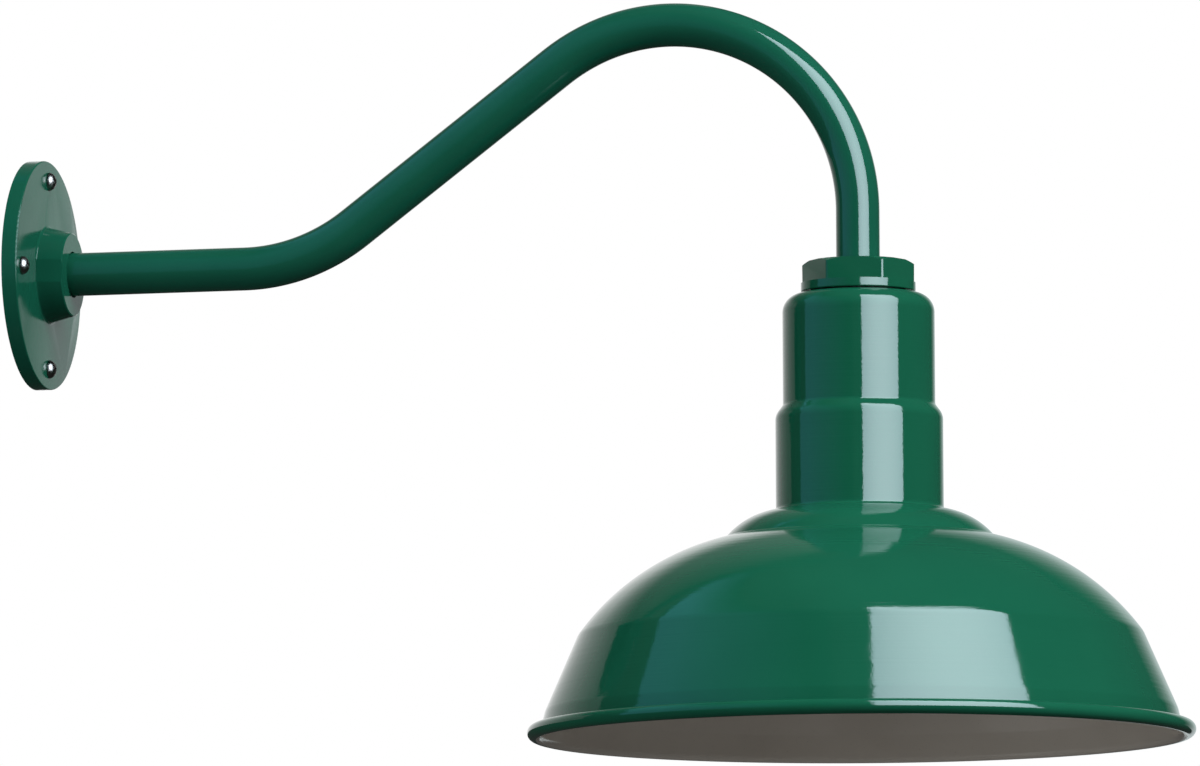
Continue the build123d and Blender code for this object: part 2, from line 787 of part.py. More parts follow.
with BuildPart() as bulb_tip:
    with BuildSketch(level(bulb_insulator_z)):
        Circle(bulb_tip_radius)
    extrude(amount=bulb_tip_height)
    fillet(bulb_tip.edges().filter_by(GeomType.CIRCLE).sort_by(Axis.Z)[-1], bulb_tip_height * 0.8)
finish(bulb_tip, "bulb_tip")

with BuildPart() as bulb_insulator:
    with BuildSketch(shade_section):
        with BuildLine():
            Polyline(
                (0, bulb_insulator_z - seat_gap),
                (bulb_tip_radius + 0.6, bulb_insulator_z - seat_gap),
                (bulb_shell_radius - shell_wall, bulb_shell_z + seat_gap),
                (0, bulb_shell_z + seat_gap),
                close=True,
            )
        make_face()
    revolve(axis=shade_axis)
finish(bulb_insulator, "bulb_insulator")

with BuildPart() as bulb_shell:
    with BuildSketch(level(bulb_shell_z)):
        Circle(bulb_shell_radius)
        Circle(bulb_shell_radius - shell_wall, mode=Mode.SUBTRACT)
    extrude(amount=-bulb_shell_length)
finish(bulb_shell, "bulb_shell")

# The glass is a globe and a neck, joined by one hollow sweep tangent to both.
sweep_x = bulb_neck_radius + bulb_neck_sweep
centre_distance = bulb_glass_radius + bulb_neck_sweep
globe_drop = sqrt(centre_distance**2 - sweep_x**2)
globe_z = bulb_lip_z - globe_drop


def bulb_solid(inset):
    """The glass's form, solid, with its outline moved inwards by inset."""
    share = (bulb_glass_radius - inset) / centre_distance
    neck_x = bulb_neck_radius - inset
    top_z = bulb_lip_z + bulb_neck_overlap
    touch = (sweep_x * share, globe_z + globe_drop * share)
    with BuildPart() as glass:
        with BuildSketch(shade_section):
            with BuildLine():
                Line((0, top_z), (neck_x, top_z))
                Line((neck_x, top_z), (neck_x, bulb_lip_z))
                TangentArc((neck_x, bulb_lip_z), touch, tangent=(0, -1))
                ThreePointArc(
                    touch,
                    (
                        (bulb_glass_radius - inset) * cos(pi / 6),
                        globe_z - (bulb_glass_radius - inset) * sin(pi / 6),
                    ),
                    (0, globe_z - bulb_glass_radius + inset),
                )
                Line((0, globe_z - bulb_glass_radius + inset), (0, top_z))
            make_face()
        revolve(axis=shade_axis)
    return glass.part


with BuildPart() as bulb_glass:
    add(bulb_solid(0))
    add(bulb_solid(bulb_glass_wall), mode=Mode.SUBTRACT)
finish(bulb_glass, "bulb_glass")
print("bulb", round(bulb_tip_z, 2), "to", round(globe_z - bulb_glass_radius, 2))
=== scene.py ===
"""Looks of a gooseneck wall sconce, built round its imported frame.

Metres. The wall is the plane x = 0, the arm leaves it along +X, and Z is up.
"""

from math import asin, atan2, ceil, cos, hypot, pi, radians, sin, sqrt, tan

import bmesh
import bpy
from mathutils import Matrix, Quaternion, Vector


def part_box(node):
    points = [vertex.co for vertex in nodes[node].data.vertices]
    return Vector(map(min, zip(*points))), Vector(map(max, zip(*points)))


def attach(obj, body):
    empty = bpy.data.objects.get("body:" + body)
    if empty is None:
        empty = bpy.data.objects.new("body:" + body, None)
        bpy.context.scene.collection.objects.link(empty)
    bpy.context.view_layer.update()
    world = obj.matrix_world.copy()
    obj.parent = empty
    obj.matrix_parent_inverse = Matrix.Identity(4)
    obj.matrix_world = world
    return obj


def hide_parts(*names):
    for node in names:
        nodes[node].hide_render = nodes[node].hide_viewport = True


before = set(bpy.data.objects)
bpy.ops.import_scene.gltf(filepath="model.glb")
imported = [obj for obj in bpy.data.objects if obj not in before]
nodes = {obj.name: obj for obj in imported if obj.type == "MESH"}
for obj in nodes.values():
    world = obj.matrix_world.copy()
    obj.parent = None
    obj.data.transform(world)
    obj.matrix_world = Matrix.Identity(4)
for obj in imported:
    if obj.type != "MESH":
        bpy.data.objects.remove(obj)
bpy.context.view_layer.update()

MM = 0.001

# --- Sizes ------------------------------------------------------------------------------

# The shade's sheet and its outline. Radii are of its outside, heights are of one stretch each, and
# rounds and bulges are of the middle of the sheet.
SHEET = 1.2 * MM
NECK_HOLE_RADIUS = 17.3 * MM
UPPER_NECK_RADIUS = 46.4 * MM
UPPER_NECK_CORNER = 11.2 * MM
UPPER_NECK_HEIGHT = 68.4 * MM
NECK_STEP_HEIGHT = 6.2 * MM
NECK_STEP_ROOT_ROUND = 4.0 * MM
NECK_STEP_ROUND = 9.0 * MM
LOWER_NECK_RADIUS = 51.1 * MM
LOWER_NECK_HEIGHT = 58.6 * MM
NECK_BASE_ROUND = 3.0 * MM
SHOULDER_RADIUS = 82.3 * MM
SHOULDER_HEIGHT = 16.6 * MM
SHOULDER_BULGE = 3.6 * MM
SHOULDER_FOOT_ROUND = 3.0 * MM
DOME_HEIGHT = 58.8 * MM
DOME_BULGE = 9.8 * MM
KNUCKLE_ROUND = 16.0 * MM
SKIRT_SPREAD = 20.4 * MM
SKIRT_HEIGHT = 46.7 * MM
SKIRT_TO_RIM = 6.2 * MM
SKIRT_FOOT_ROUND = 12.0 * MM
RIM_HEIGHT = 12.3 * MM
RIM_BEAD_RADIUS = 4.6 * MM
RIM_TURN = radians(285)
# How far round the rim's curl the white of the inside goes.
WHITE_TURN = radians(82)
SHADE_SIDES = 256
SHEET_END_STEPS = 6

# The arm.
PIPE_RADIUS = 13.35 * MM
PIPE_WALL = 2.9 * MM
PIPE_THREAD_RADIUS = 12.7 * MM
BEND_RADIUS = 118.4 * MM
WALL_RUN = 135.5 * MM
RISE_ANGLE = radians(36.5)
RISE_LENGTH = 160.2 * MM
THREAD_AT_WALL = 14.6 * MM
THREAD_AT_HUB = 26.8 * MM
ARM_SIDES = 72
ARM_STEP = 3.0 * MM
BEND_STEPS = 160

# The wall screws. The seed gives each its own turn.
SCREW_COUNT = 4
SCREW_SEED = 3
SCREW_SIDES = 40
SCREW_CIRCLE_RADIUS = 58.5 * MM
SCREW_HEAD_RADIUS = 5.65 * MM
SCREW_HEAD_HEIGHT = 4.6 * MM
SCREW_SHANK_RADIUS = 2.75 * MM
SCREW_THREAD_RADIUS = 3.1 * MM
SCREW_THREAD_PITCH = 2.2 * MM
SCREW_THREAD_DEPTH = 0.75 * MM
SCREW_POINT = 8.0 * MM
# Two crossed blades cut the recess. They are given by height, length and width, and by how far
# their middle is below the head's top.
RECESS_BLADE = (3.0 * MM, 6.4 * MM, 1.25 * MM)
RECESS_MIDDLE = 0.2 * MM

# Faces that meet at less than the flat angle are one face, and past the sharp angle is an edge.
FLAT_ANGLE = radians(0.5)
SHARP_ANGLE = radians(30)
# The rounds of castings and pressings.
EDGE_SEGMENTS = 2
CORNER_SEGMENTS = 6
# The upright corners of the hub's hexagon are farther than this from the shade's axis, and sharper.
CORNER_REACH = 30 * MM
CORNER_ANGLE = radians(40)

# The bulb and its socket.
BULB_SHELL_RADIUS = 13.1 * MM
BULB_SHELL_WALL = 0.4 * MM
BULB_SHELL_THREAD = 0.7 * MM
SOCKET_SHELL_RADIUS = 14.0 * MM
SOCKET_SHELL_WALL = 0.35 * MM
SOCKET_SHELL_THREAD = 0.2 * MM
SHELL_PITCH = 3.6286 * MM
SHELL_PLAIN_END = 1.5 * MM
SHELL_SIDES = 72
BULB_GLOBE_RADIUS = 30.0 * MM
BULB_GLOBE_SIDES = 96
BULB_NECK_RADIUS = 12.3 * MM
BULB_NECK_SWEEP = 50.0 * MM
BULB_LIP_CUT = 1.0 * MM

# Points nearer to each other than this are merged.
MERGE_GAP = 1e-6
FINE_MERGE_GAP = 1e-7

# The camera, at the photograph's viewing angle.
CAMERA_PLACE = Vector((2.20055, -7.4, -0.87768))
CAMERA_TARGET = Vector((0.36102, 0.0, -0.07759))
CAMERA_ROLL = radians(-0.29)
CAMERA_LENS = 375.66
CAMERA_SENSOR = 36.0
CAMERA_REACH = 60

# --- Places, from the frame ---------------------------------------------------------------

shade_low, shade_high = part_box("shade")
shade_x = (shade_low.x + shade_high.x) / 2
shade_top = shade_high.z
rim_outer_radius = (shade_high.x - shade_low.x) / 2
arm_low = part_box("gooseneck_arm")[0]
screw_low, screw_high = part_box("plate_screws")
glass_low, glass_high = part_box("bulb_glass")


# --- Node trees ---------------------------------------------------------------------------


class Value:
    """A node's output, on which sums are written as Python expressions."""

    def __init__(self, graph, socket):
        self.graph = graph
        self.socket = socket

    def sum_of(self, operation, first, second):
        """The Math node of an operation on two values."""
        return self.graph.add("ShaderNodeMath", {"operation": operation}, {0: first, 1: second})

    def __add__(self, other):
        return self.sum_of("ADD", self, other)

    def __radd__(self, other):
        return self.sum_of("ADD", other, self)

    def __sub__(self, other):
        return self.sum_of("SUBTRACT", self, other)

    def __rsub__(self, other):
        return self.sum_of("SUBTRACT", other, self)

    def __mul__(self, other):
        return self.sum_of("MULTIPLY", self, other)

    def __rmul__(self, other):
        return self.sum_of("MULTIPLY", other, self)

    def __truediv__(self, other):
        return self.sum_of("DIVIDE", self, other)

    def __rtruediv__(self, other):
        return self.sum_of("DIVIDE", other, self)

    def __gt__(self, other):
        return self.sum_of("GREATER_THAN", self, other)

    def __lt__(self, other):
        return self.sum_of("LESS_THAN", self, other)

    def out(self, name):
        """Another output of the same node."""
        return Value(self.graph, self.graph.find(self.socket.node.outputs, name))


class Graph:
    """A node tree that is written one call for each node."""

    def __init__(self, tree):
        self.tree = tree

    def find(self, sockets, key):
        """A socket by its number, its identifier or its name."""
        if isinstance(key, int):
            return sockets[key]
        for socket in sockets:
            if socket.identifier == key:
                return socket
        return sockets[key]

    def add(self, kind, settings=None, sockets=None):
        """A node of a kind, with its settings, and then the values or links of its sockets."""
        node = self.tree.nodes.new(kind)
        for name, setting in (settings or {}).items():
            setattr(node, name, setting)
        for key, value in (sockets or {}).items():
            self.put(self.find(node.inputs, key), value)
        shown = [socket for socket in node.outputs if socket.enabled]
        return Value(self, shown[0]) if shown else None

    def put(self, socket, value):
        """Link a node's output to a socket, or set the socket's own value."""
        if isinstance(value, Value):
            self.tree.links.new(value.socket, socket)
        else:
            socket.default_value = value


def colour(red, green, blue):
    return (red, green, blue, 1.0)


# --- Materials ----------------------------------------------------------------------------


def new_material(name):
    """An empty material and its graph."""
    material = bpy.data.materials.new(name)
    material.use_nodes = True
    material.node_tree.nodes.clear()
    return material, Graph(material.node_tree)


def surface(graph, **sockets):
    """The principled surface, with its sockets by name, as the material's output."""
    named = {key.replace("_", " "): value for key, value in sockets.items()}
    shader = graph.add("ShaderNodeBsdfPrincipled", {}, named)
    graph.add("ShaderNodeOutputMaterial", {}, {"Surface": shader})


def object_place(graph):
    return graph.add("ShaderNodeTexCoord").out("Object")


def noise(graph, place, scale, detail=2.0, roughness=0.5):
    """Soft cloudy noise from 0 to 1. Its clouds are about 1 / scale metres across."""
    return graph.add(
        "ShaderNodeTexNoise",
        {"noise_dimensions": "3D"},
        {"Vector": place, "Scale": scale, "Detail": detail, "Roughness": roughness},
    ).out("Fac")


def blend_colour(graph, share, first, second):
    """The first colour where share is 0, and the second where it is 1."""
    return graph.add(
        "ShaderNodeMix",
        {"data_type": "RGBA", "blend_type": "MIX"},
        {"Factor_Float": share, "A_Color": first, "B_Color": second},
    )


def ramp(graph, value, low, high):
    """The value stretched so that low is 0 and high is 1, and held between them."""
    return graph.add(
        "ShaderNodeMapRange",
        {"clamp": True},
        {"Value": value, "From Min": low, "From Max": high},
    )


def bump(graph, height, depth, normal=None):
    """The skin's normal with a relief of some depth in metres, on top of another where one is given."""
    sockets = {"Height": height, "Distance": depth, "Strength": 1.0}
    if normal is not None:
        sockets["Normal"] = normal
    return graph.add("ShaderNodeBump", {}, sockets)


def two_tones(graph, place, light, dark, scale, detail, low, high):
    """Clouds of two close tones, and the share of the dark one."""
    cloud = ramp(graph, noise(graph, place, scale, detail), low, high)
    return blend_colour(graph, cloud, colour(*light), colour(*dark)), cloud


def specked(graph, place, paint, dust, scale, high, share):
    """The paint with fine specks of dust, which show by a share."""
    speck = ramp(graph, noise(graph, place, scale, detail=1.0), 0.70, high)
    return blend_colour(graph, speck * share, paint, colour(*dust))


def spun_rings(graph, peel):
    """Faint rings across the shade's outline, as spinning leaves them."""
    outline = graph.add("ShaderNodeUVMap", {"uv_map": "outline"})
    stretched = graph.add(
        "ShaderNodeMapping",
        {"vector_type": "POINT"},
        {"Vector": outline, "Scale": (5.0, 480.0, 1.0)},
    )
    turned = graph.add(
        "ShaderNodeTexNoise",
        {"noise_dimensions": "2D"},
        {"Vector": stretched, "Scale": 1.0, "Detail": 2.0, "Roughness": 0.5},
    ).out("Fac")
    return bump(graph, turned, depth=66e-6, normal=peel)


def green_enamel(name, light, dark, gloss, rings=False, cast=False, IOR=1.52):
    """Deep green gloss enamel. On spun metal it shows faint rings, and on castings their skin."""
    material, graph = new_material(name)
    place = object_place(graph)
    paint, _ = two_tones(graph, place, light, dark, scale=11.0, detail=3.0, low=0.35, high=0.65)
    dust = (0.06, 0.17, 0.12)
    paint = specked(graph, place, paint, dust, scale=1400.0, high=0.76, share=0.10)
    shine = gloss + 0.03 * ramp(graph, noise(graph, place, 40.0, detail=4.0), 0.4, 0.8)
    peel = bump(graph, noise(graph, place, 150.0), depth=30e-6)
    peel = bump(graph, noise(graph, place, 700.0), depth=16e-6, normal=peel)
    if rings:
        peel = spun_rings(graph, peel)
    if cast:
        skin = noise(graph, place, 520.0, detail=4.0, roughness=0.62)
        peel = bump(graph, skin, depth=60e-6, normal=peel)
        shine = shine + 0.06 * ramp(graph, skin, 0.45, 0.7)
    surface(graph, Base_Color=paint, Roughness=shine, IOR=IOR, Normal=peel)
    return material


def white_enamel():
    """White enamel inside the shade, with faint overspray and dust."""
    material, graph = new_material("white_enamel")
    place = object_place(graph)
    light, dark = (0.84, 0.785, 0.705), (0.78, 0.725, 0.645)
    paint, _ = two_tones(graph, place, light, dark, scale=18.0, detail=4.0, low=0.35, high=0.7)
    dust = (0.45, 0.44, 0.40)
    paint = specked(graph, place, paint, dust, scale=1100.0, high=0.75, share=0.3)
    shine = 0.16 + 0.10 * ramp(graph, noise(graph, place, 60.0, detail=3.0), 0.4, 0.75)
    peel = bump(graph, noise(graph, place, 380.0), depth=22e-6)
    surface(graph, Base_Color=paint, Roughness=shine, IOR=1.5, Normal=peel)
    return material


def metal(name, light, dark, shine, grain, mark=None, wear=0.0):
    """Plated or bare metal: two close tones, a fine grain, and stains where mark is given."""
    material, graph = new_material(name)
    place = object_place(graph)
    tone, _ = two_tones(graph, place, light, dark, scale=grain / 6, detail=4.0, low=0.35, high=0.7)
    if mark:
        patches = noise(graph, place, grain / 2.5, detail=3.0, roughness=0.6)
        stain = ramp(graph, patches, 0.52, 0.62)
        tone = blend_colour(graph, stain * wear, tone, colour(*mark))
    fine = noise(graph, place, grain, detail=3.0)
    surface(
        graph,
        Base_Color=tone,
        Metallic=1.0,
        Roughness=shine + 0.16 * fine,
        Normal=bump(graph, fine, depth=14e-6),
    )
    return material


def plain_skin(name, light, dark, shine, grain, depth=20e-6):
    """Rubber, plastic, porcelain or insulation: two close tones and a skin of some depth."""
    material, graph = new_material(name)
    place = object_place(graph)
    tone, _ = two_tones(graph, place, light, dark, scale=grain / 10, detail=3.0, low=0.3, high=0.7)
    fine = noise(graph, place, grain, detail=3.0)
    surface(
        graph,
        Base_Color=tone,
        Roughness=shine + 0.08 * fine,
        IOR=1.5,
        Normal=bump(graph, fine, depth),
    )
    return material


def soft_white_glass():
    """Glass with a white powder coat inside: pale, glossy, and lit a little through its skin."""
    material, graph = new_material("soft_white_glass")
    place = object_place(graph)
    light, dark = (0.90, 0.90, 0.87), (0.84, 0.84, 0.80)
    tone, cloud = two_tones(graph, place, light, dark, scale=60.0, detail=4.0, low=0.3, high=0.7)
    surface(
        graph,
        Base_Color=tone,
        Roughness=0.06 + 0.04 * cloud,
        IOR=1.52,
        Subsurface_Weight=0.3,
        Subsurface_Scale=0.004,
        Normal=bump(graph, noise(graph, place, 90.0, detail=1.0), depth=20e-6),
    )
    return material


# Each finish gives its light and its dark tone, its roughness, and its grain in specks a metre.
shade_green = green_enamel(
    "shade_green", light=(0.0085, 0.121, 0.067), dark=(0.0072, 0.110, 0.061), gloss=0.045, rings=True
)
arm_green = green_enamel(
    "arm_green", light=(0.0085, 0.112, 0.068), dark=(0.0070, 0.102, 0.062), gloss=0.06
)
cast_green = green_enamel(
    "cast_green",
    light=(0.0080, 0.108, 0.066),
    dark=(0.0065, 0.094, 0.057),
    gloss=0.10,
    cast=True,
    IOR=1.29,
)
hub_green = green_enamel(
    "hub_green", light=(0.0085, 0.116, 0.064), dark=(0.0070, 0.104, 0.057), gloss=0.07
)
inside_white = white_enamel()
screw_steel = metal(
    "dark_screw_steel",
    light=(0.40, 0.37, 0.355),
    dark=(0.25, 0.23, 0.22),
    shine=0.30,
    grain=1500.0,
    mark=(0.20, 0.12, 0.09),
    wear=0.35,
)
zinc = metal(
    "zinc_plate",
    light=(0.66, 0.66, 0.63),
    dark=(0.52, 0.52, 0.51),
    shine=0.26,
    grain=900.0,
    mark=(0.60, 0.56, 0.42),
    wear=0.35,
)
nickel = metal(
    "rolled_nickel", light=(0.76, 0.75, 0.72), dark=(0.66, 0.65, 0.62), shine=0.16, grain=1200.0
)
brass = metal(
    "contact_brass_strip",
    light=(0.78, 0.60, 0.28),
    dark=(0.66, 0.47, 0.20),
    shine=0.20,
    grain=1300.0,
    mark=(0.40, 0.24, 0.10),
    wear=0.4,
)
copper = metal(
    "bare_copper",
    light=(0.82, 0.45, 0.30),
    dark=(0.68, 0.33, 0.20),
    shine=0.24,
    grain=2200.0,
    mark=(0.35, 0.15, 0.10),
    wear=0.3,
)
tin = metal(
    "solder_tin", light=(0.66, 0.66, 0.68), dark=(0.50, 0.50, 0.52), shine=0.22, grain=900.0
)
earth_green = metal(
    "green_screw_plate", light=(0.08, 0.36, 0.14), dark=(0.05, 0.26, 0.09), shine=0.24, grain=1300.0
)
rubber = plain_skin(
    "black_rubber_seal",
    light=(0.022, 0.022, 0.022),
    dark=(0.014, 0.014, 0.014),
    shine=0.62,
    grain=1400.0,
    depth=40e-6,
)
porcelain = plain_skin(
    "glazed_porcelain",
    light=(0.84, 0.83, 0.79),
    dark=(0.78, 0.77, 0.72),
    shine=0.08,
    grain=160.0,
    depth=60e-6,
)
bushing_black = plain_skin(
    "bushing_moulding", light=(0.045, 0.045, 0.046), dark=(0.03, 0.03, 0.031), shine=0.38, grain=900.0
)
black_sleeve = plain_skin(
    "black_sleeve", light=(0.02, 0.02, 0.02), dark=(0.012, 0.012, 0.012), shine=0.34, grain=1200.0
)
white_sleeve = plain_skin(
    "white_sleeve", light=(0.80, 0.80, 0.77), dark=(0.72, 0.72, 0.68), shine=0.34, grain=1200.0
)
green_sleeve = plain_skin(
    "green_sleeve", light=(0.03, 0.26, 0.08), dark=(0.02, 0.20, 0.06), shine=0.34, grain=1200.0
)
black_glass = plain_skin(
    "black_glass_bead", light=(0.012, 0.012, 0.014), dark=(0.02, 0.018, 0.02), shine=0.06, grain=500.0
)
bulb_white = soft_white_glass()


# --- Meshes -------------------------------------------------------------------------------


def new_piece(name, mesh):
    piece = bpy.data.objects.new(name, mesh)
    bpy.context.scene.collection.objects.link(piece)
    return piece


def smooth(mesh, angle=SHARP_ANGLE):
    """Smooth shading, with sharp edges where faces meet at more than an angle."""
    mesh.polygons.foreach_set("use_smooth", [True] * len(mesh.polygons))
    mesh.set_sharp_from_angle(angle=angle)


def dress(piece, body, slot, *replaced):
    """Put a finished piece on its body, and hide the nodes that it stands for. The slot is not used."""
    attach(piece, body)
    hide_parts(*replaced)


def wrap(value):
    """An angle between minus and plus half a turn."""
    return (value + pi) % (2 * pi) - pi


def bulged(start, end, bulge):
    """The centre and the radius of an arc that bulges to the left of its chord."""
    chord = Vector(end) - Vector(start)
    radius = (chord.length**2 / 4 + bulge**2) / (2 * bulge)
    right = Vector((chord.y, -chord.x)).normalized()
    return (Vector(start) + Vector(end)) / 2 + right * (radius - bulge), radius


class Outline:
    """A line in the plane of radius and height, with its normal at each point."""

    def __init__(self):
        self.points = []

    def spot(self, x, y, normal_x, normal_y):
        """Add a point, unless it is the last one again."""
        last = self.points[-1] if self.points else None
        if last and hypot(x - last[0], y - last[1]) < FINE_MERGE_GAP:
            return
        self.points.append((x, y, normal_x, normal_y))

    def line(self, start, end, steps=1):
        """A straight stretch. Its normal is on the left of its direction."""
        span = hypot(end[0] - start[0], end[1] - start[1])
        normal = (-(end[1] - start[1]) / span, (end[0] - start[0]) / span)
        for step in range(steps + 1):
            share = step / steps
            x = start[0] + (end[0] - start[0]) * share
            y = start[1] + (end[1] - start[1]) * share
            self.spot(x, y, *normal)

    def arc(self, centre, radius, start, end, step=radians(4)):
        """A round stretch between two angles, with the normal of a line going that way."""
        count = max(2, ceil(abs(end - start) / step))
        way = 1 if end > start else -1
        for index in range(count + 1):
            angle = start + (end - start) * index / count
            x = centre[0] + radius * cos(angle)
            y = centre[1] + radius * sin(angle)
            self.spot(x, y, -way * cos(angle), -way * sin(angle))

    def bow(self, centre, radius, first, second, step):
        """The arc about a centre, from the side that faces one point to that which faces another."""
        start = atan2(first[1] - centre[1], first[0] - centre[0])
        turn = wrap(atan2(second[1] - centre[1], second[0] - centre[0]) - start)
        self.arc(centre, radius, start, start + turn, step)

    def corner(self, before, at, after, radius):
        """A straight stretch up to a corner, and the corner's round. Returns where it ends."""
        to_before = (Vector(before) - Vector(at)).normalized()
        to_after = (Vector(after) - Vector(at)).normalized()
        half = to_before.angle(to_after) / 2
        reach = radius / tan(half)
        start = Vector(at) + to_before * reach
        end = Vector(at) + to_after * reach
        centre = Vector(at) + (to_before + to_after).normalized() * (radius / sin(half))
        first = atan2(start.y - centre.y, start.x - centre.x)
        turn = (start - centre).angle_signed(end - centre)
        self.line(before, start)
        self.arc(centre, radius, first, first - turn)
        return tuple(end)


def lathe(name, ring, closed, steps, lengths=None, faces=None):
    """A mesh turned round the shade's axis from a list of (radius, height).

    The list runs so that its outside is on the left. lengths are the UV heights of its points, and
    faces gives the material of each stretch.
    """
    mesh = bpy.data.meshes.new(name)
    shape = bmesh.new()
    columns = []
    for step in range(steps):
        angle = 2 * pi * step / steps
        columns.append(
            [
                shape.verts.new((shade_x + radius * cos(angle), radius * sin(angle), height))
                for radius, height in ring
            ]
        )
    outline = shape.loops.layers.uv.new("outline")
    stretches = len(ring) if closed else len(ring) - 1
    lengths = lengths or [0.0] * len(ring)
    for step in range(steps):
        here, there = columns[step], columns[(step + 1) % steps]
        for index in range(stretches):
            after = (index + 1) % len(ring)
            face = shape.faces.new((here[index], here[after], there[after], there[index]))
            face.material_index = faces[index] if faces else 0
            turns = (step / steps, step / steps, (step + 1) / steps, (step + 1) / steps)
            rows = (index, after, after, index)
            for loop, turn, row in zip(face.loops, turns, rows):
                loop[outline].uv = (turn, lengths[row])
    bmesh.ops.remove_doubles(shape, verts=shape.verts, dist=FINE_MERGE_GAP)
    bmesh.ops.recalc_face_normals(shape, faces=shape.faces)
    shape.to_mesh(mesh)
    shape.free()
    smooth(mesh)
    return mesh


def upright_corners(shape):
    """The upright sharp edges of a shape that stand well out from the shade's axis."""
    corners = []
    for edge in shape.edges:
        start, end = edge.verts[0].co, edge.verts[1].co
        standing = abs(end.z - start.z) > 0.99 * (end - start).length
        outside = hypot(start.x - shade_x, start.y) > CORNER_REACH
        if standing and outside and edge.calc_face_angle(0.0) > CORNER_ANGLE:
            corners.append(edge)
    return corners


def bevelled_copy(node, name, width, upright):
    """A clean copy of a node's mesh, with its sharp edges rounded, and its corners by upright."""
    shape = bmesh.new()
    source = nodes[node].data
    places = [shape.verts.new(vertex.co) for vertex in source.vertices]
    for polygon in source.polygons:
        shape.faces.new([places[index] for index in polygon.vertices])
    bmesh.ops.remove_doubles(shape, verts=shape.verts, dist=MERGE_GAP)
    bmesh.ops.dissolve_limit(
        shape, angle_limit=FLAT_ANGLE, verts=shape.verts, edges=shape.edges, delimit={"NORMAL"}
    )
    if upright:
        bmesh.ops.bevel(
            shape,
            geom=upright_corners(shape),
            offset=upright,
            segments=CORNER_SEGMENTS,
            profile=0.5,
            affect="EDGES",
        )
    mesh = bpy.data.meshes.new(name)
    shape.to_mesh(mesh)
    shape.free()
    mesh.polygons.foreach_set("use_smooth", [True] * len(mesh.polygons))
    piece = new_piece(name, mesh)
    round_off = piece.modifiers.new("rounded edges", "BEVEL")
    round_off.width = width
    round_off.segments = EDGE_SEGMENTS
    round_off.limit_method = "ANGLE"
    round_off.angle_limit = SHARP_ANGLE
    round_off.harden_normals = True
    return piece


def run_tree(name, base, inputs, build):
    """The plain mesh that a geometry tree makes from a base object.

    inputs gives the kind and the value of each named input, and build adds the tree's nodes.
    """
    tree = bpy.data.node_groups.new(name, "GeometryNodeTree")
    tree.interface.new_socket("Geometry", in_out="INPUT", socket_type="NodeSocketGeometry")
    tree.interface.new_socket("Geometry", in_out="OUTPUT", socket_type="NodeSocketGeometry")
    keys = {
        label: tree.interface.new_socket(label, in_out="INPUT", socket_type=kind).identifier
        for label, (kind, _) in inputs.items()
    }
    graph = Graph(tree)
    made = build(graph, graph.add("NodeGroupInput"))
    graph.add("NodeGroupOutput", {}, {"Geometry": made})
    modifier = base.modifiers.new(name, "NODES")
    modifier.node_group = tree
    for label, (_, value) in inputs.items():
        modifier[keys[label]] = value
    evaluated = base.evaluated_get(bpy.context.evaluated_depsgraph_get())
    mesh = bpy.data.meshes.new_from_object(evaluated)
    mesh.name = name
    bpy.data.objects.remove(base)
    return mesh


# The kinds of a tree's inputs.
NUMBER = "NodeSocketFloat"
WHOLE = "NodeSocketInt"
STUFF = "NodeSocketMaterial"
THING = "NodeSocketObject"


# --- Shade --------------------------------------------------------------------------------


